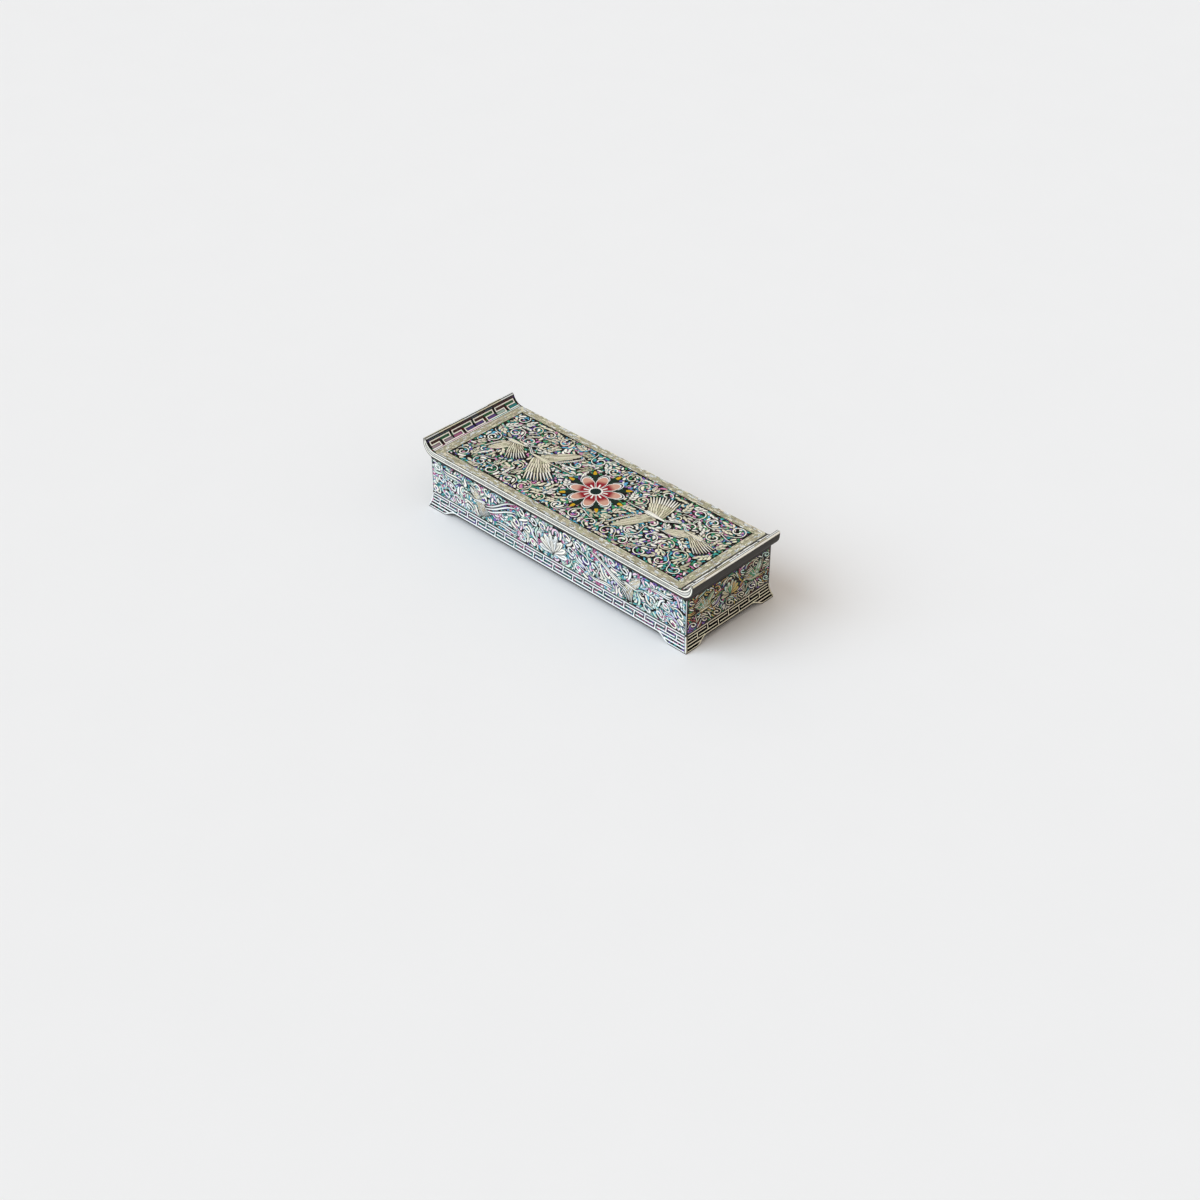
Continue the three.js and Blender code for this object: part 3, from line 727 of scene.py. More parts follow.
def lotus(plan, layer, stock, x, y, scale):
    """An open lotus: outer petals low, inner petals high, all strokes from one root, over a pair of
    curled leaves. Each petal has a dark one a little larger under it, which outlines it, and a slim
    darker one on it, its fold."""
    side = np.array([-1, 1])
    points, half = strokes(x, y, RIGHT_ANGLE - side * 2.0, 12 * scale, 2.0 * scale,
                           (2.4 * side, 3.4 * side), (0.5, 0.8), 10)
    plan.lay(layer, points, half, plan.tints(2, stock), np.array([0, 0.5]))
    for spread, count, reach, wide, base in LOTUS_ROWS:
        way = np.linspace(-spread, spread, count)
        level = base + np.argsort(np.argsort(-np.abs(way), kind="stable")).astype(float)
        points, half = strokes(x, y, RIGHT_ANGLE + way, reach * scale * (1 - 0.12 * np.abs(way)),
                               wide * scale, (0.5 * way, -0.9 * way), (0.8, 0.4), 9)
        plan.lay_outlined(layer, points, half, 2 * size("edge"), plan.tints(count, stock, 0.8), level, 0.3)
        plan.lay(layer, points[:, 2:-1], half[:, 2:-1] * 0.22, 0.45 * plan.tints(count, stock), level + 0.6)


def plumes(plan, layer, stock, x, y, heading, span, bend, count, spread, wide):
    """A spray of long plumes: strokes that leave a bowed row of roots and spread apart like a fan, the
    middle ones the longest, with a dark line round each."""
    k = np.arange(count)
    aside = k - (count - 1) / 2
    on = 0.8 * aside ** 2
    points, half = strokes(x + on * math.cos(heading) - 2.0 * aside * math.sin(heading),
                           y + on * math.sin(heading) + 2.0 * aside * math.cos(heading),
                           heading + spread * aside, span * (1 - 0.06 * aside ** 2), wide, bend,
                           (0.5, 0.6), 15)
    plan.lay_outlined(layer, points, half, 2 * size("edge"), plan.tints(count, stock, 0.86), 2 * (k % 3), 1)


def grown(plan, layer, stock, line, wide):
    """Lays a vine along a line from its start, as far as the ground is open. Returns what was laid, as a list
    of points and half widths."""
    open_ground = plan.clear(line, wide.max() + size("gap"))
    end = len(line) if open_ground.all() else int(open_ground.argmin())
    if end < SHORTEST_RUN:
        return []
    pick = np.linspace(0, end - 1, max(10, end // 3))
    points = np.stack([np.interp(pick, np.arange(len(line)), line[:, k]) for k in (0, 1)], 1)
    half = np.interp(pick, np.arange(len(line)), wide)
    plan.lay_outlined(layer, points[None], half[None], size("edge"), plan.tints(1, stock, 0.92), 0, 1)
    return [(points, half)]


def spiral(plan, layer, stock, eye, radius, outer, way, turns, width, flower, drawn):
    """One scroll: a spiral that starts thick at its eye and thins outwards, then swings over into a tail
    that bends the other way, drawn out along a slant by a factor and narrowed across it, with a
    five-petalled flower at its eye where there is room."""
    t = np.linspace(0, 1, 64)
    angle = outer - way * (1 - t ** 0.8) * turns * TURN
    arm = radius * (0.26 + 0.74 * t)
    line = eye + unit(angle) * arm[:, None]
    s = np.linspace(0, 1, 28)[1:]
    heading = outer + way * (RIGHT_ANGLE + 1.6 * (s - 1.25 * s * s))
    step = 1.6 * radius / len(s)
    line = np.concatenate([line, line[-1] + np.cumsum(unit(heading) * step, 0)])
    slant, more = drawn
    line = moved(moved(line - eye, 0, 0, -slant, 1) * (more, 1 / more), *eye, slant, 1)
    runs = grown(plan, layer, stock, line, width / 2 * np.linspace(1.3, 0.5, len(line)))
    if flower and runs:
        petal = outer + ringed(5)
        points, half = strokes(*(eye + 0.35 * unit(petal)).T, petal, 2.1, 1.5, taper=(0.6, 0.4), stations=5)
        if all(plan.free(p, h, 0) for p, h in zip(points, half)):
            plan.lay(layer, points, half, plan.tints(5, stock), 0.5 * np.arange(5))
    plan.eyes.append((*eye, way))
    return runs


def net_scrolls(plan, layer, stock, pitch, radius, width, drawn=(0, 1), flower=False):
    """Scrolls on a jittered hexagonal net, turning by turns to the left and to the right."""
    draw = plan.random
    span = plan.high - plan.low
    rows = max(1, int(round(span[1] / (0.87 * pitch))))
    runs = []
    for row in range(rows):
        y = plan.low[1] + span[1] * (row + 0.5) / rows
        for k, x in enumerate(np.arange(plan.low[0] + pitch * (0.45, 0.95)[row % 2], plan.high[0], pitch)):
            eye = np.array([x, y]) + draw.uniform(-0.12, 0.12, 2) * pitch
            runs += spiral(plan, layer, stock, eye, radius * draw.uniform(0.85, 1.1), draw.uniform(0, TURN),
                           (-1) ** (k + row), draw.uniform(0.8, 1.25), width, flower, drawn)
    return runs


def stem_leaves(plan, layer, stock, bits, runs, longest):
    """Leaves along the vines: commas that leave the vine to either side and bend along it."""
    draw = plan.random
    for points, half in runs:
        for k in range(1, len(points) - 1, 2):
            ahead = points[k + 1] - points[k - 1]
            heading = math.atan2(ahead[1], ahead[0])
            for side in (-1, 1):
                lean = heading + side * draw.uniform(0.45, 0.9)
                off = half[k] + size("gap") + 0.2
                start = points[k] + off * unit(heading + side * RIGHT_ANGLE)
                bend = side * draw.uniform(-1.8, 0.3)
                rgb = plan.tints(1, stock)
                for share in LEAF_SHARES:
                    span = longest * share * draw.uniform(0.85, 1.1)
                    leaf, wide = strokes(*start, lean, span, 0.46 * span, (bend, bend * 0.4), (0.55, 0.7))
                    if plan.free(leaf[0], wide[0], size("gap")):
                        plan.lay_outlined(layer, leaf, wide, 1.6 * size("edge"), rgb)
                        veined(plan, layer, bits, leaf, wide, 0.35, 1)
                        break


def sprigs(plan, layer, bits, stock, tries, longest):
    """Sprigs on open ground: a short bent stem with three pairs of leaves and one at its end. The leaves
    that fit are laid where at least four do."""
    draw = plan.random
    at = draw.uniform(plan.low, plan.high, (tries, 2))
    lean = flow(plan, at) + draw.normal(0, 0.6, tries)
    knot, side = SPRIG_KNOTS, SPRIG_SIDES
    for place, heading, way in zip(at, lean, draw.choice((-1, 1), tries)):
        stem, slim = strokes(*place, heading, 2.4 * longest, 0.5, (1.6 * way, 0.6 * way), (0, 0.3), 9)
        ahead = heading + way * (0.175 * knot - 0.0078 * knot ** 2)
        span = longest * draw.uniform(0.75, 1.1, 7)
        root = stem[0, knot] + 0.5 * np.stack([-np.sin(ahead) * side, np.cos(ahead) * side], 1)
        leaf, wide = strokes(*root.T, ahead + 0.85 * side, span, 0.47 * span,
                             (-1.2 * side, -0.4 * side), (0.5, 0.75), 6)
        fit = np.array([plan.free(p, h, size("gap")) for p, h in zip(leaf, wide)])
        if fit.sum() < 4 or (stem < plan.low).any() or (stem > plan.high).any():
            continue
        leaf, wide = leaf[fit], wide[fit]
        rgb = plan.regional(place[None], stock) * draw.uniform(0.88, 1.04, (len(leaf), 1))
        plan.lay(layer, stem, slim, rgb[:1])
        plan.lay_outlined(layer, leaf, wide, 1.6 * size("edge"), rgb, 1 + np.arange(len(leaf)))
        veined(plan, layer, bits, leaf, wide, 0.25, 9)


def veined(plan, layer, bits, points, half, share, level):
    """Lays a slim inner piece of another tint on some leaves, along their own line."""
    some = plan.random.random(len(points)) < share
    if some.any():
        plan.lay(layer, points[some, 1:-1], half[some, 1:-1] * 0.4,
                 0.6 * plan.tints(int(some.sum()), bits), level, mark=False)


def flow(plan, at):
    """The heading of the ornament at some places: the sum of the turnings round all scroll eyes, each
    fading with the square of its distance, and of the panel's drift."""
    eyes = np.array(plan.eyes)
    away = at[:, None] - eyes[:, :2]
    pull = eyes[:, 2] / ((away ** 2).sum(-1) + 1) ** 1.5
    return np.arctan2(plan.drift[1] + (away[..., 0] * pull).sum(1),
                      plan.drift[0] - (away[..., 1] * pull).sum(1))


def streams(plan, layer, stock, sizes, tries, gap, rim=0.0):
    """Fills the open ground with ever smaller tapering strokes that follow the flow round the scrolls,
    begun at random places, each laid only where it fits, on a dark one a little wider if a rim is given."""
    draw = plan.random
    area = np.prod(plan.high - plan.low)
    for span, wide in sizes:
        count = int(tries * area / (span * wide))
        stations = int(np.clip(4 + span / 1.1, 5, 12))
        spans = span * draw.uniform(0.8, 1.15, (count, 1))
        lean = draw.normal(0, 0.28, count)
        line = [draw.uniform(plan.low, plan.high, (count, 2))]
        for _ in range(stations - 1):
            line.append(line[-1] + unit(flow(plan, line[-1]) + lean) * spans / (stations - 1))
        points = np.stack(line, 1)
        half = tapered(wide * draw.uniform(0.85, 1.15, (count, 1)), np.linspace(0, 1, stations), 0.04,
                       (0.3, 0.5), 0.06)
        rgb = plan.regional(points[:, 0], stock)
        keep = plan.clear(points.reshape(-1, 2), 0.1).reshape(count, stations).all(1)
        fit = np.zeros(count, bool)
        for k in np.flatnonzero(keep):
            if plan.free(points[k], half[k], gap):
                plan.cover(points[k], half[k])
                fit[k] = True
        if rim:
            plan.lay(layer, points[fit], half[fit] + rim, lacquer(), 0, mark=False)
        plan.lay(layer, points[fit], half[fit], rgb[fit], 0.5, mark=False)


def straight(plan, layer, lines, width, rgb, level=0, stations=2):
    """Straight strips from (u0, v0, u1, v1) rows, of even width."""
    lines = np.asarray(lines, float).reshape(-1, 4)
    t = np.linspace(0, 1, stations)[:, None]
    points = lines[:, None, :2] * (1 - t) + lines[:, None, 2:] * t
    half = np.broadcast_to(np.reshape(width, (-1, 1)) / 2, points.shape[:2])
    plan.lay(layer, points, half, rgb, level, mark=False)


def slips(starts, ends, v):
    """Rows for straight strips one after another along u, all at the same v."""
    level = np.full(len(starts), v)
    return np.stack([starts, level, ends, level], 1)


def path_strip(plan, layer, corners, width, rgb, level, step):
    """One strip of even width along a path of straight runs, mitred at its corners: each corner's section
    is turned half way and widened so that the runs keep their width."""
    corners = np.asarray(corners, float)
    runs = np.diff(corners, axis=0)
    spans = np.hypot(*runs.T)
    counts = np.maximum(1, np.ceil(spans / step).astype(int))
    points = np.concatenate([corners[k] + runs[k] * np.arange(n)[:, None] / n
                             for k, n in enumerate(counts)] + [corners[-1:]])
    way = np.diff(points, axis=0)
    way /= np.hypot(*way.T)[:, None]
    cosine = np.concatenate([[1], (way[1:] * way[:-1]).sum(1), [1]])
    half = width / 2 / np.sqrt(np.maximum((1 + cosine) / 2, 0.25))
    plan.lay(layer, points[None], half[None], rgb, level, mark=False)


# Stocks of shell by panel.
TOP_STOCK = mix(cream=0.5, pale=0.46, olive=0.04)
TOP_BITS = mix(cream=0.22, pale=0.16, blush=0.06, mint=0.06, teal=0.14, sky=0.11, pink=0.15, green=0.1)
CRANE_BRIGHT = mix(pale=0.7, cream=0.3)
CRANE_SOFT = mix(cream=0.6, olive=0.4)
BORDER_INNER = mix(olive=0.68, cream=0.22, silver=0.1)
BORDER_OUTER = mix(olive=0.42, cream=0.33, silver=0.25)
WALL_STOCK = mix(silver=0.2, pale=0.48, mint=0.16, ice=0.03, blush=0.1, lilac=0.03)
WALL_BITS = mix(silver=0.2, pale=0.18, mint=0.16, ice=0.12, blush=0.12, lilac=0.06, sky=0.07, teal=0.09)
WALL_FIGURES = mix(silver=0.5, pale=0.5)
WALL_SOFT = mix(silver=0.4, cream=0.4, olive=0.2)
# The ends' stocks are darker and more golden than the long walls': in part the ends' own shell, in part
# painted shade and painted warm bounced light, as the ends are drawn as they look in shade.
END_STOCK = mix(pale=0.2, cream=0.32, gold=0.14, olive=0.12, mint=0.08, green=0.1, russet=0.05,
                violet=0.04)
END_BITS = mix(gold=0.16, olive=0.16, green=0.18, teal=0.1, violet=0.14, pink=0.06, russet=0.2)
END_VINES = mix(pale=0.2, cream=0.35, mint=0.15, gold=0.3)
END_LOTUS = mix(mint=0.3, olive=0.35, gold=0.2, green=0.15)
END_BRIGHT = mix(cream=0.4, olive=0.35, gold=0.25)
END_SOFT = mix(olive=0.35, mint=0.15, gold=0.2, green=0.3)

# Chips of the ground: the share left bare, the tints with their lightness and share, the stretch of the
# cells, which makes chips twice as long one way, and a chip's width in millimetres.
CHIPS = {
    "top": (0.54, (("violet", 0.95, 0.05), ("teal", 1.0, 0.26), ("green", 1.0, 0.24), ("olive", 0.8, 0.12),
                   ("pink", 1.0, 0.18), ("sky", 1.0, 0.15)), (0.5, 1.0, 1.0), 1.5),
    "long_wall": (0.2, (("violet", 0.9, 0.08), ("slate", 0.9, 0.12), ("teal", 0.95, 0.15),
                        ("mint", 0.75, 0.3), ("sky", 0.9, 0.11), ("ice", 0.8, 0.12), ("pink", 0.9, 0.12)),
                  (0.5, 1.0, 1.0), 1.7),
    "long_plinth": (0.5, (("violet", 0.8, 0.15), ("slate", 0.7, 0.2), ("teal", 0.8, 0.35),
                          ("pink", 0.8, 0.3)), (0.5, 1.0, 1.0), 0.95),
    # The ends' chips are dimmer and more of their ground is left bare than on the long walls: in part painted
    # shade.
    "end": (0.7, (("violet", 0.6, 0.2), ("brown", 1.0, 0.2), ("green", 0.65, 0.35), ("russet", 0.6, 0.25)),
            (1.0, 0.5, 1.0), 0.95)}
# The chips of each node, by the first word that its name holds.
CHIPPED = {"field_inlay": "top", "medallion": "top", "front_wall_inlay": "long_wall",
           "back_wall_inlay": "long_wall", "front_plinth_inlay": "long_plinth",
           "back_plinth_inlay": "long_plinth", "wall_inlay": "end", "slope_inlay": "end"}

# Figures: cranes as x, y, heading, scale, fanned wing, broad wing, bend of the neck and tail; plumes of one
# half of a long wall as x, z, rise, length, bend, count and spread; cranes of an end as x, z, heading, and
# the angles of the fanned and the broad wing.
LID_CRANES = ((51, 6, 0, 1.0, (110, 24, 20), (-122, 31)),
              (-58, 3, 180, 1.0, (-52, 29, 18), (46, 29), -1),
              (-85, 6, 4, 0.85, (-52, 25, 15), (-124, 25), 1, 10),
              (86, 7, 178, 0.85, (-30, 25, 15), (-160, 24), -1, 10))
LONG_PLUMES = ((69, 24.6, 0.1, 36, 1.8, 3, 0.05), (112, 36.5, -0.35, 20, 1.6, 2, 0.06),
               (57, 17.5, 0.3, 21, -1.7, 2, 0.06))
END_CRANES = ((-25, 26.5, 0, 122, 44), (26, 26.0, 180, 134, 58))

# The painted flower, in millimetres: its panel, and the ground that the field leaves to it and to its buds.
FLOWER_PANEL = 26.0
FLOWER_ROOM = 20.6
BUD_REACH, BUD_ROOM = 23.0, 2.3
PETALS = 8
PETAL_STATIONS = 16
# Where petals begin to round off, and where and over what length they turn from one colour to the next.
PETAL_SHOULDER = 12.5
PETAL_TURN, PETAL_FADE = 10.8, 3.0
HEART = 4.1

# A slope's fret, in millimetres: heights of a T's foot, shoulder and top along the slope, and half the widths
# of its stem and bar; heights of the coloured strips and lines below, between and above the Ts.
SLOPE_FOOT, SLOPE_SHOULDER, SLOPE_BAR_TOP = 2.75, 6.2, 9.1
SLOPE_STEM, SLOPE_BAR = 1.7, 9.3
# The third of these heights is that of a broad lacquer line laid on the right slope only: painted shade.
SLOPE_OLIVE, SLOPE_BROWN, SLOPE_PAINTED_SHADE, SLOPE_LINE, SLOPE_SLIPS = 0.25, 0.7, 1.1, 1.25, 1.97
SLOPE_BETWEEN, SLOPE_HEAD = 4.4, 10.5
# How far along a slope its colours are warm.
WARM_STRIPS, WARM_SLIPS = 18, 14

# A plinth's fret, in millimetres: heights of the top line, the standing and the hanging Ts' bars, the bottom
# line over the arch, the lines on the feet, and the coloured slips.
PLINTH_LINE, STANDING_BAR, HANGING_BAR, PLINTH_FLOOR = 12.3, 10.2, 7.5, ARCH_HEIGHT + 1.2
FOOT_LINES = (7.8, 5.6, 3.4, 1.2)
PLINTH_SLIPS = (11.3, 8.9, 6.3)

# The stage: the floor's flat radius and its rim's in metres, and the light.
FLOOR_REACH, FLOOR_RIM = 6.0, 1.2
SKY_COLOUR = (1.0, 0.9, 0.805, 1)
KEY_COLOUR = (0.74, 0.872, 1.0)
KEY_FROM = (-0.38, -0.66, 0.65)
KEY_ANGLE = math.radians(55)


# Operators


class PENCASE_OT_lacquer(bpy.types.Operator):
    """Gives every frame node its finish"""
    bl_idname = "pencase.lacquer"
    bl_label = "Lacquer and strips"

    def execute(self, context):
        shell = settings("shell")
        cool = [0.36 * (a + b) for a, b in zip(shell.silver, shell.pale)]
        strips = {"edge_inlay": ("edge_nacre", cool, [0.66 * c for c in cool]),
                  "rim_inlay": ("rim_nacre", [0.5 * c for c in shell.olive], [0.3 * c for c in shell.olive])}
        for name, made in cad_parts.items():
            word = next((word for word in (*strips, *CHIPPED, "inlay", "border") if word in name), "")
            if word in strips:
                finish = material(sheet_nacre, *strips[word])
            elif word in CHIPPED:
                finish = material(chip_shell, CHIPPED[word] + "_chips", *CHIPS[CHIPPED[word]])
            else:
                finish = material(ground_lacquer if word else black_lacquer)
            made.data.materials.clear()
            made.data.materials.append(finish)
        return {"FINISHED"}


class PENCASE_OT_lid_field(bpy.types.Operator):
    """Inlays the lid's field: two pairs of cranes, vine scrolls, leaves and bits of bright shell"""
    bl_idname = "pencase.lid_field"
    bl_label = "Lid field"

    def execute(self, context):
        plan = Plan(FIELD_LOW[0], FIELD_HIGH[0], FIELD_LOW[1], FIELD_HIGH[1], seed=11)
        plan.cover(np.zeros((1, 2)), np.array([FLOWER_ROOM]))
        for bud in BUD_REACH * unit(ringed(PETALS)):
            plan.cover(bud[None], np.array([BUD_ROOM]))
        for place in LID_CRANES:
            crane(plan, "cranes", CRANE_BRIGHT, CRANE_SOFT, *place)
        vines = net_scrolls(plan, "vines", CRANE_BRIGHT, pitch=16.0, radius=6.6, width=size("vine"),
                            flower=True)
        plan.drift = (0.012, 0)
        stem_leaves(plan, "leaves", TOP_STOCK, TOP_BITS, vines, longest=4.6)
        sprigs(plan, "leaves", TOP_BITS, TOP_STOCK, tries=3000, longest=4.4)
        streams(plan, "leaves", TOP_STOCK, ((6, 2.0), (4, 1.8)), tries=2.4, gap=0.48, rim=0.25)
        streams(plan, "bits", TOP_BITS, ((4.2, 1.7), (2.8, 1.4), (1.9, 1.05)), tries=1.5, gap=0.4)
        for layer in ("cranes", "vines", "leaves", "bits"):
            inlaid("lid_" + layer, plan, layer, lid_face, "lid")
        return {"FINISHED"}


class PENCASE_OT_flower(bpy.types.Operator):
    """Paints the eight-petalled flower at the middle of the lid"""
    bl_idname = "pencase.flower"
    bl_label = "Painted flower"

    def execute(self, context):
        paint = settings("paint")
        plan = Plan(-FLOWER_PANEL, FLOWER_PANEL, -FLOWER_PANEL, FLOWER_PANEL, seed=5)
        between = ringed(PETALS)
        petal = TURN / (2 * PETALS) + between
        stagger = 0.5 * (np.arange(PETALS) % 2)

        def rays(way, start, span, wide, taper, rgb, level, stations=8):
            """A ring of tapering strokes that point outwards."""
            points, half = strokes(start * np.cos(way), start * np.sin(way), way, span, wide,
                                   taper=taper, stations=stations)
            plan.lay("flower", points, half, rgb, level, mark=False)

        def petals(start, end, wide, seam, level, near, far=None):
            """A ring of petals, each as wide as the wedge between its neighbours less a seam, up to a
            width, and rounded off at its end by an ellipse. Its colour turns from near to far."""
            r = start + (end - start) * np.sin(np.linspace(0, RIGHT_ANGLE, PETAL_STATIONS))
            bulge = np.clip((r - PETAL_SHOULDER) / (end - PETAL_SHOULDER), 0, 1)
            half = np.minimum(r * TURN / PETALS - seam, wide * np.sqrt(1.004 - bulge ** 2)) / 2
            share = np.clip((r[:, None] - PETAL_TURN) / PETAL_FADE, 0, 1)
            rgb = np.array(near) * (1 - share) + np.array(far or near) * share
            plan.lay("flower", unit(petal)[:, None] * r[:, None],
                     np.broadcast_to(half, (PETALS, PETAL_STATIONS)),
                     np.broadcast_to(rgb, (PETALS, PETAL_STATIONS, 3)), level + stagger, mark=False)

        # Petals by start, end, width, seam, level and colours; rays by start, length, width, taper, colour,
        # level and stations.
        petals(15.0, 21.6, 9.7, 0.4, 0, settings("shell").silver)
        petals(13.0, 20.8, 8.8, 1.2, 1, paint.lacquer)
        petals(4.6, 19.6, 8.3, 0.2, 2, paint.white)
        petals(4.8, 18.6, 7.3, 0.95, 3, paint.red, paint.rose)
        rays(petal, 4.8, 4.2, 1.2, (0.25, 0.1), paint.white, 4.5, 6)
        rays(between, 12.5, 9.6, 5.4, (0.9, 0.3), paint.lacquer, 0.1)
        rays(between, 10.6, 11.4, 3.0, (0.8, 0.25), paint.leaf, 0.6)
        for lean in (-0.45, 0.45):
            rays(between + lean * 0.13, 19.0, 4.8, 1.7, (0.4, 0.7), paint.leaf, 5 + lean, 7)
        rays(between, 21.3, 4.8, 2.7, (0.25, 0.75), paint.bud, 6)
        ring = unit(np.linspace(0, TURN, 49))
        plan.lay("flower", ring[None] * 4.5, np.full((1, 49), 0.55), paint.white, 6, mark=False)
        t = np.linspace(-1, 1, 17)
        plan.lay("flower", np.stack([HEART * t, 0 * t], 1)[None],
                 np.maximum(HEART * np.sqrt(1 - t * t), 0.05)[None], paint.heart, 5, mark=False)
        inlaid("lid_flower", plan, "flower", lid_face, "lid", flower_paint)
        return {"FINISHED"}


class PENCASE_OT_border(bpy.types.Operator):
    """Lays the lid's border bands in courses of narrow strips"""
    bl_idname = "pencase.border"
    bl_label = "Border bands"

    def execute(self, context):
        plan = Plan(-SLOPE_START, SLOPE_START, -LID_SIDE, LID_SIDE, seed=7)
        band = LID_SIDE - BORDER_IN_Y
        courses = int(band // size("course"))
        pitch = band / courses
        shortest, longest, seam, corner_inset = 1.2, 4.0, 0.06, 0.6
        for k in range(courses):
            inset = (k + 0.5) * pitch
            stock = BORDER_OUTER if k > courses - 3 else BORDER_INNER
            for along, out, order in ((BORDER_IN_X, BORDER_IN_Y, (0, 1, 2, 3)),
                                      (BORDER_IN_Y, BORDER_IN_X, (1, 0, 3, 2))):
                reach = along + inset - pitch / 2
                for side in (-1, 1):
                    cuts = np.cumsum(plan.random.uniform(shortest, longest, 260)) - reach
                    cuts = np.concatenate([[-reach], cuts[cuts < reach - shortest], [reach]])
                    rows = slips(cuts[:-1] + seam, cuts[1:] - seam, side * (out + inset))[:, order]
                    straight(plan, "border", rows, pitch - 0.2, plan.tints(len(rows), stock, 0.62))
        corner = np.array([(a, b) for a in (-1, 1) for b in (-1, 1)])
        ends = (corner * (BORDER_IN_X + corner_inset, BORDER_IN_Y + corner_inset),
                corner * (SLOPE_START - corner_inset, LID_SIDE - corner_inset))
        straight(plan, "border", np.concatenate(ends, 1), 1.5, 0.8 * plan.tints(4, BORDER_INNER), 1)
        inlaid("lid_border", plan, "border", lid_face, "lid")
        return {"FINISHED"}


class PENCASE_OT_walls(bpy.types.Operator):
    """Inlays the four walls: lotus, cranes, plumes, vine scrolls, leaves and bits of bright shell"""
    bl_idname = "pencase.walls"
    bl_label = "Walls"

    def long_figures(self, plan):
        """A long wall's figures: a lotus in the middle and, mirrored on both sides, a crane that flies away
        from it with a long train of plumes, and two sweeps of plumes beside it."""
        lotus(plan, "figures", WALL_FIGURES, x=0, y=19.5, scale=1.45)
        for way in (-1, 1):
            for x, z, rise, span, bend, count, spread in LONG_PLUMES:
                plumes(plan, "figures", WALL_FIGURES, way * x, z, rise if way < 0 else math.pi - rise, span,
                       (-way * bend, way * bend), count, -way * spread, wide=1.15)
            turn = 0 if way > 0 else 180
            crane(plan, "figures", WALL_FIGURES, WALL_SOFT, way * 74, 28, turn - way * 8, scale=0.62,
                  fan=(turn - way * 112, 20, 15), broad=(turn + way * 42, 19), neck=way, tail=6)

    def end_figures(self, plan, way):
        """An end wall's figures: a lotus between two cranes that fly towards it."""
        lotus(plan, "figures", END_LOTUS, x=way, y=25.5, scale=0.95)
        for x, z, *angles in END_CRANES:
            heading, fan, broad = [a if way > 0 else 180 - a for a in angles]
            crane(plan, "figures", END_BRIGHT, END_SOFT, way * x, z, heading, scale=0.5, fan=(fan, 25, 17),
                  broad=(broad, 26), neck=way if angles[0] == 0 else -way, tail=16)

    def execute(self, context):
        low, high = FRONT_SHEET_LOW[2], FRONT_SHEET_HIGH[2]
        for side, name in enumerate(SIDES):
            end = side % 2
            reach = END_SHEET_HIGH[1] + 0.8 if end else FRONT_SHEET_HIGH[0] + 0.2
            plan = Plan(-reach, reach, low - 0.5, high + 0.2, seed=21 + side)
            if end:
                self.end_figures(plan, 2 - side)
                plan.drift = (0.035, -0.02)
                net_scrolls(plan, "vines", END_VINES, pitch=12.5, radius=3.3, width=0.6, drawn=(-0.5, 1.5))
                leaves = ((8, 0.65), (5.5, 0.7), (4, 0.75), (3, 0.75))
                streams(plan, "leaves", END_STOCK, leaves, tries=3.0, gap=0.38, rim=0.2)
                streams(plan, "bits", END_BITS, ((2.8, 0.7), (2.0, 0.65)), tries=1.5, gap=0.3)
            else:
                self.long_figures(plan)
                plan.drift = (0.02, -0.011)
                net_scrolls(plan, "vines", WALL_FIGURES, pitch=11.0, radius=3.9, width=1.2,
                            drawn=(-0.55, 1.35))
                leaves = ((13, 1.7), (8, 1.9), (5, 1.7))
                streams(plan, "leaves", WALL_STOCK, leaves, tries=4.0, gap=0.42, rim=0.27)
                streams(plan, "bits", WALL_BITS, ((3.2, 1.1), (2.2, 1.0)), tries=3.0, gap=0.3)
                corner = END_OUT - 0.45
                straight(plan, "vines", [(u, low, u, high) for u in (-corner, corner)], 0.55,
                         0.8 * tint("silver"))
            for layer in ("figures", "vines", "leaves", "bits"):
                inlaid(name + "_wall_" + layer, plan, layer, wall_face(side), "case")
        return {"FINISHED"}


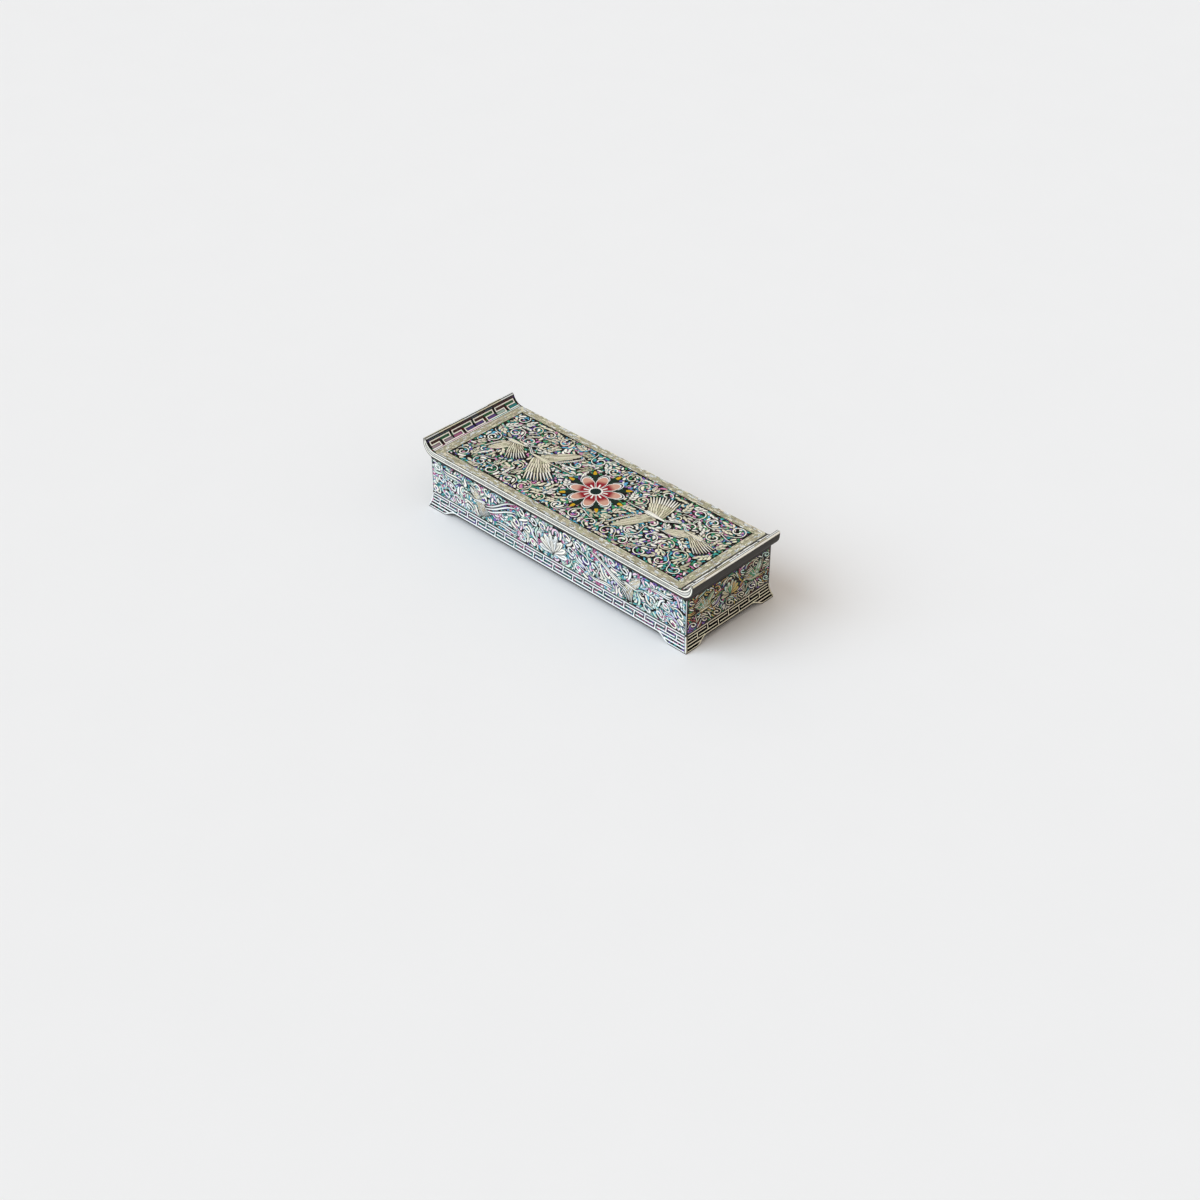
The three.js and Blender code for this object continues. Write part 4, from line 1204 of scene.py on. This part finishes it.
class PENCASE_OT_frets(bpy.types.Operator):
    """Inlays the frets: a T-shaped meander on each slope, and interlocking Ts round the plinth"""
    bl_idname = "pencase.frets"
    bl_label = "Frets"

    def slope(self, side, name):
        """One slope's meander: a single strip that climbs each T's stem, runs round its bar and comes
        back down, over strips of dark and coloured shell."""
        plan = Plan(-LID_SIDE, LID_SIDE, 0, SLOPE_LENGTH, seed=40 + side)
        draw, wide, right = plan.random, size("fret"), side == 1
        half = LID_SIDE - 1.0
        mirror = -1 if right else 1
        centres = (np.arange(4) - 1.5) * half / 2

        def line(v, width, rgb, level):
            """A strip from end to end."""
            straight(plan, "fret", [(-half, v, half, v)], width, rgb, level, 12)

        corners = [(-half, SLOPE_FOOT)]
        for c in centres:
            climb = [(SLOPE_STEM, SLOPE_FOOT), (SLOPE_STEM, SLOPE_SHOULDER), (SLOPE_BAR, SLOPE_SHOULDER),
                     (SLOPE_BAR, SLOPE_BAR_TOP)]
            corners += [(c - u, v) for u, v in climb] + [(c + u, v) for u, v in reversed(climb)]
        corners.append((half, SLOPE_FOOT))
        path_strip(plan, "fret", corners, wide, tint("pale"), 2, 0.6)
        line(SLOPE_LINE, 0.7 * wide, tint("pale"), 2)
        middle = (SLOPE_SHOULDER + SLOPE_BAR_TOP) / 2
        strips, rgb = [], []
        for c in centres:
            strips += [(c - SLOPE_BAR + 1, middle, c - 0.3, middle),
                       (c + 0.3, middle, c + SLOPE_BAR - 1, middle)]
            rgb += [0.6 * tint("brown"), 0.3 * tint("green")]
            for edge in (-1, 1):
                strips.append((c + edge * (SLOPE_STEM + 0.9), SLOPE_BETWEEN, c + edge * (SLOPE_BAR + 0.7),
                               SLOPE_BETWEEN))
                warm = (c + edge * (SLOPE_STEM + SLOPE_BAR) / 2) * mirror < WARM_STRIPS
                names = ("pink", "blush", "violet") if warm else ("teal", "mint")
                shade = tint(names[int(draw.integers(len(names)))])
                # On the right slope these strips are dimmed to three tenths: painted shade.
                rgb.append(draw.uniform(0.35, 0.6) * (0.3 if right else 1) * shade)
        straight(plan, "fret", strips, 1.9, rgb, 0, 4)
        cuts = np.linspace(-half, half, 25)
        warm = cuts[:-1] * mirror < WARM_SLIPS
        rgb = np.where(warm[:, None], plan.tints(24, mix(pink=0.6, blush=0.15, lilac=0.25), 0.4),
                       plan.tints(24, mix(teal=0.5, mint=0.2, sky=0.2, gold=0.1), 0.4))
        # The right slope's slips are dark silver and slate, under a broad lacquer line: painted shade, as
        # that slope is drawn as it looks in shade.
        if right:
            rgb = plan.tints(24, mix(silver=0.5, slate=0.5), 0.6)
            line(SLOPE_PAINTED_SHADE, 1.3, lacquer(), 2.5)
        straight(plan, "fret", slips(cuts[:-1] + 0.1, cuts[1:] - 0.1, SLOPE_SLIPS), 0.6, rgb)
        line(SLOPE_BROWN, 0.5, 0.4 * tint("brown"), 0)
        line(SLOPE_OLIVE, 0.4, tint("olive"), 0)
        cuts = np.linspace(-half, half, 13)
        dark = [TINTS.index(s) for s in ("brown", "brown", "slate")]
        straight(plan, "fret", slips(cuts[:-1] + 0.2, cuts[1:] - 0.2, SLOPE_HEAD), 0.7,
                 0.8 * tint_table()[draw.choice(dark, 12)])
        inlaid(name + "_slope_fret", plan, "fret", slope_face(side), "lid")

    def plinth(self, side, name):
        """One plinth board's fret: Ts hanging from the top line between Ts that stand on the bottom line,
        which follows the arch, with short lines stacked on the feet and a strip down each corner."""
        end = side % 2
        flat, spring = END_ARCH if end else FRONT_ARCH
        reach = FRONT_OUT if end else END_OUT
        pitch = 21.2 if end else 19.5
        plan = Plan(-reach - FLARE, reach + FLARE, 0, PLINTH_TOP, seed=50 + side)
        wide = size("fret") * (0.72 if end else 1)
        pale = tint("cream" if end else "silver")

        def limit(z):
            """How far the fret reaches to either side at a height."""
            return reach + flare(z)[0] - 1.5

        side_end = limit(PLINTH_LINE)
        straight(plan, "fret", [(-side_end, PLINTH_LINE, side_end, PLINTH_LINE)], wide, pale, 3)
        t = np.linspace(0, 1, 12)
        drop = PLINTH_FLOOR - (PLINTH_FLOOR - 1.0) * (3 * t * t - 2 * t ** 3)
        sweep = flat + (spring + 1.7 - flat) * t
        line = np.concatenate([np.stack([-sweep[::-1], drop[::-1]], 1), np.stack([sweep, drop], 1)])
        path_strip(plan, "fret", line, wide, pale, 3, 2.0)
        count = int(reach / pitch) + 1
        hang = (np.arange(-count, count + 1) + (0 if end else 0.5)) * pitch
        stems, bars = [], []
        for centres, foot, bar in ((hang, PLINTH_LINE, HANGING_BAR),
                                   (hang + pitch / 2, PLINTH_FLOOR, STANDING_BAR)):
            for c in centres[np.abs(centres) < limit(bar) - 2]:
                stems.append((c, foot, c, bar))
                bars.append((max(c - 0.42 * pitch, -limit(bar)), bar, min(c + 0.42 * pitch, limit(bar)), bar))
        straight(plan, "fret", stems, wide, pale, 1, 6)
        straight(plan, "fret", bars, wide, pale, 2)
        v = np.linspace(0.8, PLINTH_TOP - 0.8, 16)
        inner = {z: np.interp(-z, -drop, sweep) + 1.1 for z in FOOT_LINES}
        inner[FOOT_LINES[0]] = np.abs(stems)[:, 0].max() + wide
        for edge in (-1, 1):
            feet = [(edge * u, z, edge * limit(z), z) for z, u in inner.items() if limit(z) - u > 2]
            straight(plan, "fret", feet, wide, pale, 2)
            corner = np.stack([edge * (reach + flare(v)[0] - 0.6), v], 1)
            path_strip(plan, "fret", corner, wide, pale, 2, 2.0)
        cuts = np.arange(-reach + 1, reach - 4, 4.2)
        for z in () if end else PLINTH_SLIPS:
            keep = cuts[np.abs(cuts + 2) < (spring if z < HANGING_BAR else reach) - 3]
            straight(plan, "fret", slips(keep + 0.3, keep + 3.9, z), 0.5,
                     0.4 * plan.tints(len(keep), mix(teal=0.45, pink=0.35, violet=0.2)))
        inlaid(name + "_plinth_fret", plan, "fret", plinth_face(side), "case")

    def rim(self, side, name):
        """One scroll end's rim: three bands of pale strips, in lanes narrow enough to follow the curve, with
        dark seams between them."""
        plan = Plan(-LID_SIDE, LID_SIDE, 0, TIP_RADIUS * (RIGHT_ANGLE + SLOPE_ANGLE), seed=70 + side)
        half, widest_lane = LID_SIDE - 0.3, 0.45
        cuts = np.linspace(-half, half, 8)
        # Each band's start, end and stock, then each seam's middle and width. The outer band, on the rim's
        # outward face, is the palest: in part the shell's own colour, in part a painted highlight along the
        # rim's edge.
        bands = ((0.35, 1.15, mix(silver=0.6, cream=0.4)), (1.85, 2.75, mix(silver=0.7, olive=0.3)),
                 (2.9, 4.4, mix(pale=0.8, cream=0.2)))
        seams = ((0.17, 0.34), (1.5, 0.8), (2.82, 0.3))
        for start, end, stock in bands:
            rgb = plan.tints(7, stock, 0.9)
            lanes = int(np.ceil((end - start) / widest_lane))
            wide = (end - start) / lanes
            for v in start + (np.arange(lanes) + 0.5) * wide:
                straight(plan, "rim", slips(cuts[:-1] + 0.05, cuts[1:] - 0.05, v), wide, rgb)
        for v, wide in seams:
            straight(plan, "rim", [(-half, v, half, v)], wide, lacquer(), 1)
        inlaid(name + "_rim_strips", plan, "rim", rim_face(side), "lid")

    def execute(self, context):
        for side, name in enumerate(SIDES):
            self.plinth(side, name)
            if side % 2:
                self.slope(side, name)
                self.rim(side, name)
        return {"FINISHED"}


class PENCASE_OT_edges(bpy.types.Operator):
    """Lays the pale line round each long edge of the lid"""
    bl_idname = "pencase.edges"
    bl_label = "Lid edges"

    def loop(self, inset):
        """The outline of the lid's end view, drawn in by an inset: bottom, outer arc, tip and slope."""
        arc = np.linspace(-RIGHT_ANGLE, 0, 13)
        tip = np.linspace(0, math.pi - 0.35, 9)
        slope = np.linspace(SLOPE_ANGLE, 0, 13)
        outer, round_tip = OUTER_RADIUS - inset, TIP_RADIUS - min(inset, 1.1)
        right = np.concatenate([
            np.stack([LID_END - OUTER_RADIUS + outer * np.cos(arc),
                      LID_BASE + OUTER_RADIUS + outer * np.sin(arc)], 1),
            np.stack([TIP_X + round_tip * np.cos(tip), TIP_Z + round_tip * np.sin(tip)], 1),
            np.stack([SLOPE_START + (SLOPE_RADIUS + inset) * np.sin(slope),
                      LID_TOP + SLOPE_RADIUS - (SLOPE_RADIUS + inset) * np.cos(slope)], 1)])
        start = [(0, LID_BASE + inset)]
        return np.concatenate([start, right, right[::-1] * (-1, 1), start])

    def execute(self, context):
        # Each line's inset, width, colour and level.
        lines = ((1.25, 0.8, tint("pale"), 0), (2.0, 0.34, lacquer(), 1), (0.4, 0.28, lacquer(), 1))
        for side in (0, 2):
            plan = Plan(-LID_END, LID_END, LID_BASE, TIP_TOP, seed=60 + side)
            for inset, width, rgb, level in lines:
                path_strip(plan, "line", self.loop(inset), width, rgb, level, 20)
            cuts = np.cumsum(plan.random.uniform(7, 15, 40)) - SLOPE_START
            cuts = cuts[cuts < SLOPE_START]
            seams = slips(cuts[:-1] + 1.2, cuts[1:], (LID_BASE + LID_TOP) / 2)
            straight(plan, "line", seams, 0.3, lacquer(), 1)
            inlaid(SIDES[side] + "_edge_line", plan, "line", edge_face(side), "lid")
        return {"FINISHED"}


class PENCASE_OT_linings(bpy.types.Operator):
    """Lays the velvet on the floor, the walls and the underside of the lid"""
    bl_idname = "pencase.linings"
    bl_label = "Velvet linings"

    def execute(self, context):
        jobs = [("floor_lining", "case", 2, 1, "bottom_board"), ("lid_lining", "lid", 2, -1, "lid_board")]
        jobs += [(name + "_lining", "case", axis, way, name + "_wall")
                 for name, axis, way in zip(SIDES, (1, 0, 1, 0), (1, -1, -1, 1))]
        for seed, job in enumerate(jobs):
            self.sheet(seed, *job)
        return {"FINISHED"}

    def sheet(self, seed, node, body, axis, way, held):
        """A thin closed sheet. Its face is a grid of two parameters over the node's box: the height is the
        sheet's thickness, less a rounding near the edges and a slow rise and fall of the pile; its back
        is the same grid, flat."""
        low, high = box_mm(node)
        u_axis, v_axis = [a for a in range(3) if a != axis]
        cell, rounding = 1.6, 1.2
        nu, nv = (int(np.clip((high - low)[a] / cell, 8, 90)) for a in (u_axis, v_axis))
        s, t = np.meshgrid(np.linspace(0, 1, nu), np.linspace(0, 1, nv), indexing="ij")
        u, v = low[u_axis] + s * (high - low)[u_axis], low[v_axis] + t * (high - low)[v_axis]
        thick = (high - low)[axis]
        edge = np.minimum.reduce([u - low[u_axis], high[u_axis] - u, v - low[v_axis], high[v_axis] - v])
        round_off = np.clip(1 - edge / rounding, 0, 1) ** 2
        nap = np.sin(u / 7.3 + seed) * np.cos(v / 5.9 - seed) + 0.5 * np.sin((u + 2 * v) / 3.1)
        face = thick * (1 - 0.45 * round_off) - size("nap") * (1 + nap / 1.5) * (1 - round_off)
        grid = np.zeros((2, nu, nv, 3))
        grid[..., u_axis], grid[..., v_axis] = u, v
        start = low[axis] if way > 0 else high[axis]
        grid[0, ..., axis], grid[1, ..., axis] = start, start + way * face
        at = np.arange(grid[..., 0].size).reshape(2, nu, nv)
        top = np.stack([at[1, :-1, :-1], at[1, 1:, :-1], at[1, 1:, 1:], at[1, :-1, 1:]], -1)
        base = np.stack([at[0, :-1, :-1], at[0, :-1, 1:], at[0, 1:, 1:], at[0, 1:, :-1]], -1)
        rim = np.concatenate([at[:, :, 0], at[:, -1, 1:], at[:, -2::-1, -1], at[:, 0, -2:0:-1]], 1)
        nxt = np.roll(rim, -1, axis=1)
        skirt = np.stack([rim[0], nxt[0], nxt[1], rim[1]], -1)
        quads = np.concatenate([top.reshape(-1, 4), base.reshape(-1, 4), skirt])
        handed = way * (1 if axis != 1 else -1)
        made = new_object(node + "_velvet", grid.reshape(-1, 3), quads[:, ::handed], material(pile_velvet),
                          body)
        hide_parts(node)


class PENCASE_OT_stage(bpy.types.Operator):
    """Sets the floor, the light and the camera"""
    bl_idname = "pencase.stage"
    bl_label = "Stage"

    def execute(self, context):
        scene = context.scene
        stage = settings("stage")
        # The floor is round and bends up into a low rim, so that no edge shows behind the case.
        turn = ringed(96)
        bend = np.linspace(0, RIGHT_ANGLE, 9)
        arm = np.concatenate([[FLOOR_REACH / 3], FLOOR_REACH + FLOOR_RIM * np.sin(bend)])[:, None]
        height = np.concatenate([[0], FLOOR_RIM - FLOOR_RIM * np.cos(bend)])[:, None]
        rings = np.stack(np.broadcast_arrays(arm * np.cos(turn), arm * np.sin(turn), height), -1)
        at = np.arange(arm.size * turn.size).reshape(arm.size, turn.size)
        nxt = np.roll(at, -1, axis=1)
        quads = np.stack([at[:-1], at[1:], nxt[1:], nxt[:-1]], -1).reshape(-1, 4)
        mesh = bpy.data.meshes.new("floor")
        mesh.from_pydata(rings.reshape(-1, 3), [], [at[0].tolist(), *quads.tolist()])
        mesh.polygons.foreach_set("use_smooth", np.ones(len(quads) + 1, bool))
        mesh.materials.append(material(studio_paper))
        floor = bpy.data.objects.new("floor", mesh)
        scene.collection.objects.link(floor)

        world = bpy.data.worlds.new("studio")
        world.use_nodes = True
        scene.world = world
        back = world.node_tree.nodes["Background"]
        back.inputs["Color"].default_value = SKY_COLOUR
        back.inputs["Strength"].default_value = stage.sky

        # A broad lamp in front and to the left, so wide that its shadows have no hard edge.
        lamp = bpy.data.lights.new("key", "SUN")
        lamp.angle = KEY_ANGLE
        lamp.energy = stage.key
        lamp.color = KEY_COLOUR
        made = bpy.data.objects.new("key", lamp)
        made.rotation_euler = Vector(KEY_FROM).to_track_quat("Z", "Y").to_euler()
        scene.collection.objects.link(made)

        lens = bpy.data.cameras.new("camera")
        lens.sensor_width = 36.0
        lens.lens = stage.lens
        lens.clip_start = 0.01
        camera = bpy.data.objects.new("camera", lens)
        level = math.cos(stage.elevation)
        away = Vector((math.sin(stage.azimuth) * level, -math.cos(stage.azimuth) * level,
                       math.sin(stage.elevation)))
        camera.location = Vector((stage.target_x, stage.target_y, 0)) + away * stage.distance
        camera.rotation_euler = away.to_track_quat("Z", "Y").to_euler()
        scene.collection.objects.link(camera)
        scene.camera = camera
        scene.view_settings.view_transform = "Standard"
        return {"FINISHED"}


OPERATORS = (PENCASE_OT_lacquer, PENCASE_OT_lid_field, PENCASE_OT_flower, PENCASE_OT_border,
             PENCASE_OT_walls, PENCASE_OT_frets, PENCASE_OT_edges, PENCASE_OT_linings, PENCASE_OT_stage)
GROUPS = {"sizes": PenCaseSizes, "shell": PenCaseShell, "paint": PenCasePaint, "stage": PenCaseStage}


class PENCASE_PT_sidebar(bpy.types.Panel):
    """Lists the pen case's settings and the operators that build it"""
    bl_idname = "PENCASE_PT_sidebar"
    bl_label = "Pen Case"
    bl_space_type = "VIEW_3D"
    bl_region_type = "UI"
    bl_category = "Pen Case"

    def draw(self, context):
        for operator in OPERATORS:
            self.layout.operator(operator.bl_idname)
        for group, kind in GROUPS.items():
            box = self.layout.box()
            for name in kind.__annotations__:
                box.prop(settings(group), name)


def register():
    """Registers the settings, the operators and the panel."""
    for kind in (*GROUPS.values(), *OPERATORS, PENCASE_PT_sidebar):
        bpy.utils.register_class(kind)
    for group, kind in GROUPS.items():
        setattr(bpy.types.Scene, "pen_case_" + group, bpy.props.PointerProperty(type=kind))


def unregister():
    """Takes them away again."""
    for group in GROUPS:
        delattr(bpy.types.Scene, "pen_case_" + group)
    for kind in (PENCASE_PT_sidebar, *reversed(OPERATORS), *reversed(GROUPS.values())):
        bpy.utils.unregister_class(kind)


def main():
    """Builds every piece in order."""
    register()
    for operator in OPERATORS:
        group, name = operator.bl_idname.split(".")
        getattr(getattr(bpy.ops, group), name)()
    bpy.context.view_layer.update()


if __name__ == "__main__":
    main()
